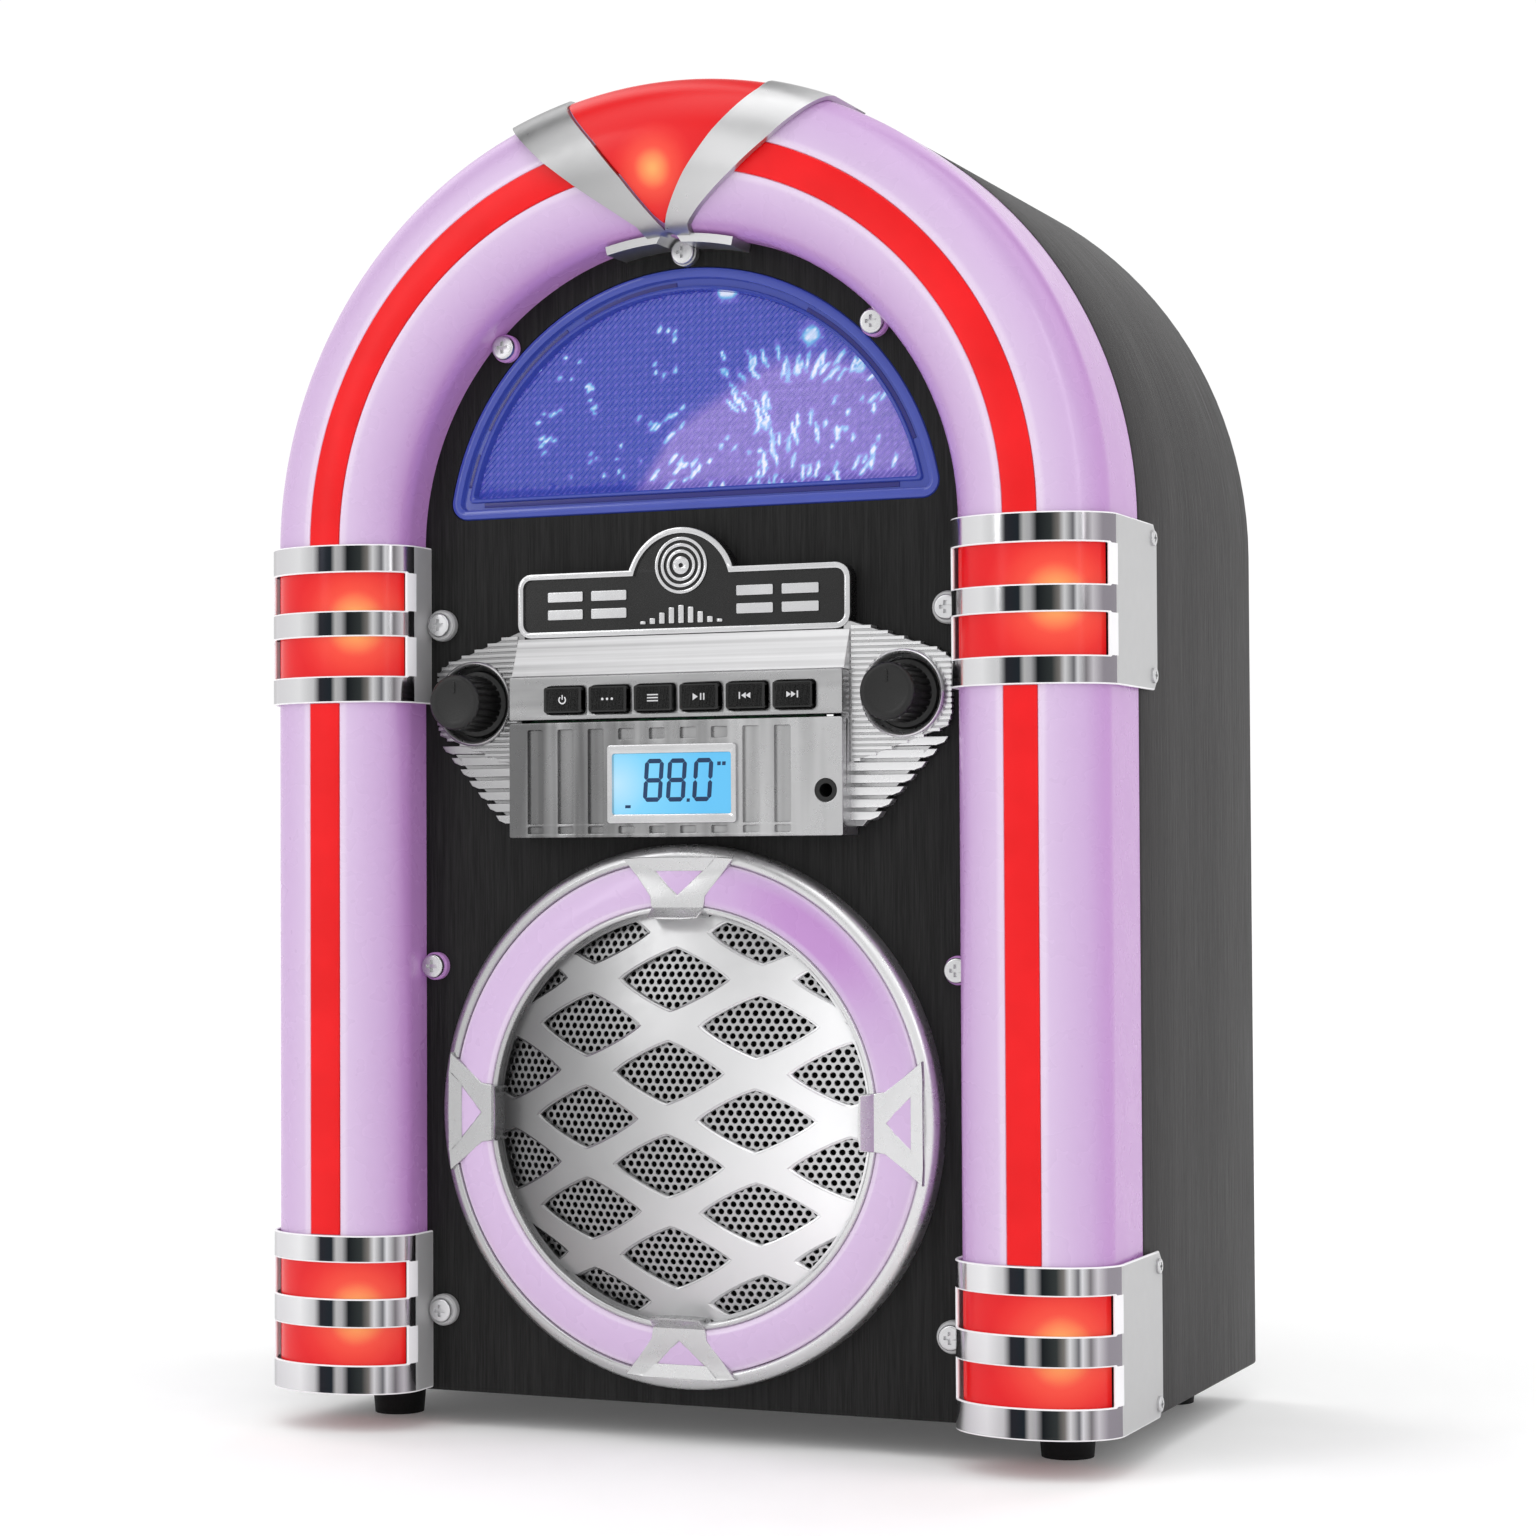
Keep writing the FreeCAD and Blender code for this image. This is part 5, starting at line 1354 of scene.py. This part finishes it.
def segment(x, z, length, upright):
    """One bar of a digit, with pointed ends."""
    half, tip = 0.6, 0.6
    shape = [(-length / 2, 0), (-length / 2 + tip, -half), (length / 2 - tip, -half), (length / 2, 0),
             (length / 2 - tip, half), (-length / 2 + tip, half)]
    return [(x + (w if upright else u), z + (u if upright else w)) for u, w in shape]


def digit(x, z, middle_bar):
    width, height = 4.3, 5.1
    bars = [segment(x, z + height, width, False), segment(x, z - height, width, False)]
    bars += [segment(x + side * width / 2, z + part * height / 2, height - 0.15, True)
             for side in (-1, 1) for part in (-1, 1)]
    if middle_bar:
        bars.append(segment(x, z, width, False))
    return bars


def display_pieces():
    z = LCD.mid.z / MM
    lamp = at(-16.5, -11, z)
    glass = plate("display_glass", [rectangle(-17.5, 17.5, z - 8.4, z + 8.4, 0.4, 3)], -10.9, -8.8, 0.15,
                  display_glass(lamp))
    stand_for(glass, "cabinet", "lcd_glass", "lcd_module")
    shapes = digit(-5.6, z + 0.9, True) + digit(1.1, z + 0.9, True) + digit(8.7, z + 0.9, False)
    shapes.append(rectangle(4.4, 5.3, z - 4.9, z - 4.0))
    shapes += [rectangle(12.6, 13.6, z + 4.6, z + 5.6), rectangle(14.0, 15.0, z + 4.6, z + 5.6),
               rectangle(-13.4, -11.8, z - 6.4, z - 5.6)]
    slanted = [[(x + 0.07 * (w - z), w) for x, w in shape] for shape in shapes]
    ink = plates("display_digits", [[shape] for shape in slanted], -10.96, -10.8, 0.02, "ink")
    stand_for(ink, "cabinet", "lcd_glass", "lcd_module")
    bezel = plate("display_bezel", [rectangle(-18.75, 18.75, z - 10.5, z + 10.5, 1.0),
                                    rectangle(-17.15, 17.15, z - 8.0, z + 8.0, 0.6)],
                  -12.0, -10.4, 0.4, "trim")
    stand_for(bezel, "cabinet", "plate_trim", "lcd_bezel")


def knob_pieces():
    for name in ("volume", "tuning"):
        box = Box(name + "_knob")
        x, z = box.mid.x / MM, box.mid.z / MM
        profile = [(3.05, -1.1), (9.2, -1.1), (9.3, -1.4), (9.1, -2.2), (8.8, -2.65), (8.2, -2.8),
                   (7.6, -3.0), (7.5, -3.4, True), (7.5, -9.0, True), (7.5, -14.9, True), (7.45, -15.5), (7.1, -16.0),
                   (6.6, -16.25), (6.0, -16.3), (5.4, -16.15), (4.9, -16.05), (0.0, -16.05), (0.0, -12.1),
                   (3.05, -12.1)]
        grip = turned(name + "_grip", profile, x, z, "black", 192, 24, 0.4, 40)
        stand_for(grip, name + "_knob", "black_plastic", name + "_knob")
        mark = plate(name + "_mark", [rectangle(x - 0.4, x + 0.4, z + 2.4, z + 5.6, 0.3, 3)],
                     -16.28, -15.6, 0.08, "gloss")
        stand_for(mark, name + "_knob", "black_plastic")


button_pieces()
display_pieces()
knob_pieces()


# ---------------------------------------------------------------- control panel

PANEL_FRONT = -11.0
PANEL_HALF = 48.4
WING_FRONT = -5.4
KNOB_PLACE = (62.5, 197.7)


def wing_lift(x, _):
    """How far a wing's front is moved back: it falls away from the middle of the panel."""
    return (abs(x) - PANEL_HALF) * 3.4 / 27


def wing_reach(z):
    """How far out the upper wing goes at a height."""
    edge = ((178.6, 47.0), (180.4, 51.5), (188.4, 74.0), (191.8, 75.2), (207.0, 75.2), (209.4, 72.0),
            (214.8, 56.5), (217.2, 49.0))
    return along_line(edge, z)


def outside_dish(x0, x1, z, radius=11.4):
    """A bar's stretches from x0 to x1 that lie outside the knob's dish."""
    knob_x, knob_z = KNOB_PLACE
    gap = radius ** 2 - (z - knob_z) ** 2
    if gap <= 0:
        return [(x0, x1)]
    half = math.sqrt(gap)
    return [(a, b) for a, b in ((x0, knob_x - half), (knob_x + half, x1)) if b - a > 0.8]


def wing_pieces(side, word):
    ribs = []
    for step in range(24):
        z = 180.2 + 1.5 * step
        for x0, x1 in outside_dish(48.6, min(wing_reach(z), wing_reach(z + 0.9)), z + 0.45):
            ribs.append([[(side * x, w) for x, w in rectangle(x0, x1, z, z + 0.95)]])
    bars = plates("panel_ribs_" + word, ribs, WING_FRONT, -0.3, 0.22, "rib", wing_lift)
    outline = [(46.5, 179.0), (51.3, 181.0), (73.8, 189.0), (74.8, 192.0), (74.8, 206.6), (71.7, 208.9),
               (48.4, 216.8), (46.5, 216.8)]
    hole = circle(*KNOB_PLACE, 11.2, 48)
    # The ground round the ribs is the darker furrow satin: painted shade.
    ground = plate("panel_wing_" + word, [[(side * x, z) for x, z in loop] for loop in (outline, hole)],
                   -4.9, -0.1, 0.2, "furrow", wing_lift)
    slats = []
    for step in range(7):
        top = 186.4 - 3.2 * step
        tip = 73.0 - 0.91 * (185.4 - top)
        points = [(46.5, top), (tip, top), (tip - 1.1, top - 1.5), (tip - 3.2, top - 2.3), (46.5, top - 2.3)]
        slats.append([[(side * x, z) for x, z in points]])
    stack = plates("panel_slats_" + word, slats, -4.6, -0.3, 0.3, "rib", wing_lift)
    # The back behind the slats is the darker furrow satin too: painted shade.
    back = plate("panel_back_" + word, [[(side * x, z) for x, z in ((46, 184.0), (69.5, 184.0),
                 (50.5, 163.4), (46, 163.4))]], -2.2, -0.1, 0.2, "furrow")
    profile = [(3.6, -0.5), (9.3, -0.5), (9.9, -0.8), (10.2, -1.6), (10.3, -4.4), (10.5, -4.9),
               (11.0, -5.1), (11.5, -4.8), (11.6, -4.2), (11.6, -0.1), (3.6, -0.1)]
    dish = turned("panel_dish_" + word, profile, side * KNOB_PLACE[0], KNOB_PLACE[1], "rib", sharp=50)
    for item in (bars, ground, stack, back, dish):
        stand_for(item, "cabinet", "satin_plating", "control_panel")


def panel_block():
    """The middle of the panel: a slope, the button strip and the channelled face under it."""
    half = PANEL_HALF
    places = [Box("button_" + name).mid.x / MM for name in BUTTONS]
    holes = [rectangle(x - 5.8, x + 5.8, 194.0, 201.4, 0.9) for x in places]
    strip = plate("panel_strip", [rectangle(-half, half, 192.5, 204.2, 0.6, 3)] + holes, PANEL_FRONT, -6.0,
                  0.4, "strip")
    floor_strip = plate("panel_strip_floor", [rectangle(-47, 47, 193, 203.5)] + holes, -8.5, -6.0, 0.1,
                        "black")
    slope = plate("panel_slope", [rectangle(-half, half, 204.2, 214.8)], -9.6, -0.1, 0.3, "slope",
                  lambda x, z: 4.2 * min(1.0, max(0.0, (z - 204.9) / 9.6)))
    channels = []
    for x in (-40.5, -31.5, -22.5, 22.5, 31.5):
        channels.append(rectangle(x - 2.25, x + 2.25, 164.6, 189.8, 0.3, 2))
        channels.append(rectangle(x - 2.25, x + 2.25, 162.0, 163.8, 0.3, 2))
    for x in (-13.5, -4.5, 4.5, 13.5):
        channels.append(rectangle(x - 2.25, x + 2.25, 187.0, 189.8, 0.3, 2))
        channels.append(rectangle(x - 2.25, x + 2.25, 162.0, 163.8, 0.3, 2))
    jack = circle(43.6, 172.7, 3.05, 40)
    z = LCD.mid.z / MM
    opening = rectangle(-17.6, 17.6, z - 8.5, z + 8.5, 0.4, 3)
    face = plate("panel_face", [rectangle(-half, half, 160.9, 191.8, 0.6, 3)] + channels + [jack, opening],
                 PANEL_FRONT, -8.4, 0.35, "face")
    # The ground behind the channels is the slightly darker channel satin: painted shade.
    ground = plate("panel_face_ground", [rectangle(-47.8, 47.8, 161.6, 191.2), circle(43.6, 172.7, 3.2, 40),
                                         opening], -9.9, -8.3, 0.1, "channel")
    sides = plate("panel_sides", [rectangle(-48.3, 48.3, 161.1, 214.6),
                                  rectangle(-46.5, 46.5, 163.0, 213.0)], -8.6, -0.1, 0.1, "face",
                  lambda x, z: max(0.0, (z - 204) / 10.8) * 3.4)
    for item in (strip, slope, face, ground, sides, floor_strip):
        stand_for(item, "cabinet", "satin_plating", "control_panel")


panel_block()
wing_pieces(1, "right")
wing_pieces(-1, "left")


# ---------------------------------------------------------------- floor, light and camera

def studio():
    """A pale floor in a white room; above the horizon the room has soft bright and dark panels."""
    paint = moulded("pale floor", (0.965, 0.965, 0.965), 0.8, 40, 0.02, 0.1, glow=0.07)
    floor = add_mesh("floor", [(x * 30, y * 30, 0) for x, y in ((-1, -1), (1, -1), (1, 1), (-1, 1))],
                     [(0, 1, 2, 3)], paint)
    world = bpy.data.worlds.new("studio")
    bpy.context.scene.world = world
    world.use_nodes = True
    nodes = Nodes(world.node_tree)
    split = nodes.add("ShaderNodeSeparateXYZ")
    nodes.link(nodes.add("ShaderNodeTexCoord").outputs["Generated"], split.inputs[0])
    around = nodes.math("ARCTAN2", split.outputs["Y"], split.outputs["X"])
    panels = nodes.math("SINE", nodes.math("MULTIPLY_ADD", around, 5.0, 0.9))
    height = nodes.feed(nodes.add("ShaderNodeMapRange"), From_Min=0.34, From_Max=0.6, Value=split.outputs["Z"])
    swing = nodes.math("MULTIPLY", nodes.math("MULTIPLY", panels, height.outputs[0]), 0.75)
    nodes.feed(nodes.tree.nodes["Background"], Strength=1.02, Color=nodes.math("ADD", swing, 1.0))


def soft_light(name, place, size, power):
    """A rectangular light aimed at the middle of the object."""
    data = bpy.data.lights.new(name, "AREA")
    data.shape = "RECTANGLE"
    data.size, data.size_y = size
    data.energy = power
    item = bpy.data.objects.new(name, data)
    item.location = place
    item.rotation_euler = (Vector((0, 0, 0.2)) - Vector(place)).to_track_quat("-Z", "Y").to_euler()
    bpy.context.scene.collection.objects.link(item)


def photo_camera():
    """A long lens from the front right, a little below the middle, looking almost level."""
    yaw, pitch, roll = (math.radians(angle) for angle in (23.016, 1.485, -0.279))
    forward = Vector((-math.sin(yaw) * math.cos(pitch), math.cos(yaw) * math.cos(pitch), math.sin(pitch)))
    right = Vector((math.cos(yaw), math.sin(yaw), 0))
    up = right.cross(forward)
    right, up = (right * math.cos(roll) + up * math.sin(roll), up * math.cos(roll) - right * math.sin(roll))
    data = bpy.data.cameras.new("camera")
    data.lens, data.sensor_width = 78.34, 36
    data.shift_x, data.shift_y = 0.0011, 0.0054
    item = bpy.data.objects.new("camera", data)
    place = Vector((0.3677, BAFFLE_Y - 0.8131, 0.1539))
    item.matrix_world = Matrix((right, up, -forward)).transposed().to_4x4()
    item.location = place
    bpy.context.scene.collection.objects.link(item)
    bpy.context.scene.camera = item


studio()
soft_light("key", (-0.75, -1.2, 0.75), (0.12, 0.8), 1.3)
soft_light("rim", (0.95, -0.75, 0.7), (0.1, 0.8), 1.0)
soft_light("top", (0, -0.5, 1.5), (1.0, 1.0), 2.0)
photo_camera()
bpy.context.scene.view_settings.view_transform = "Standard"
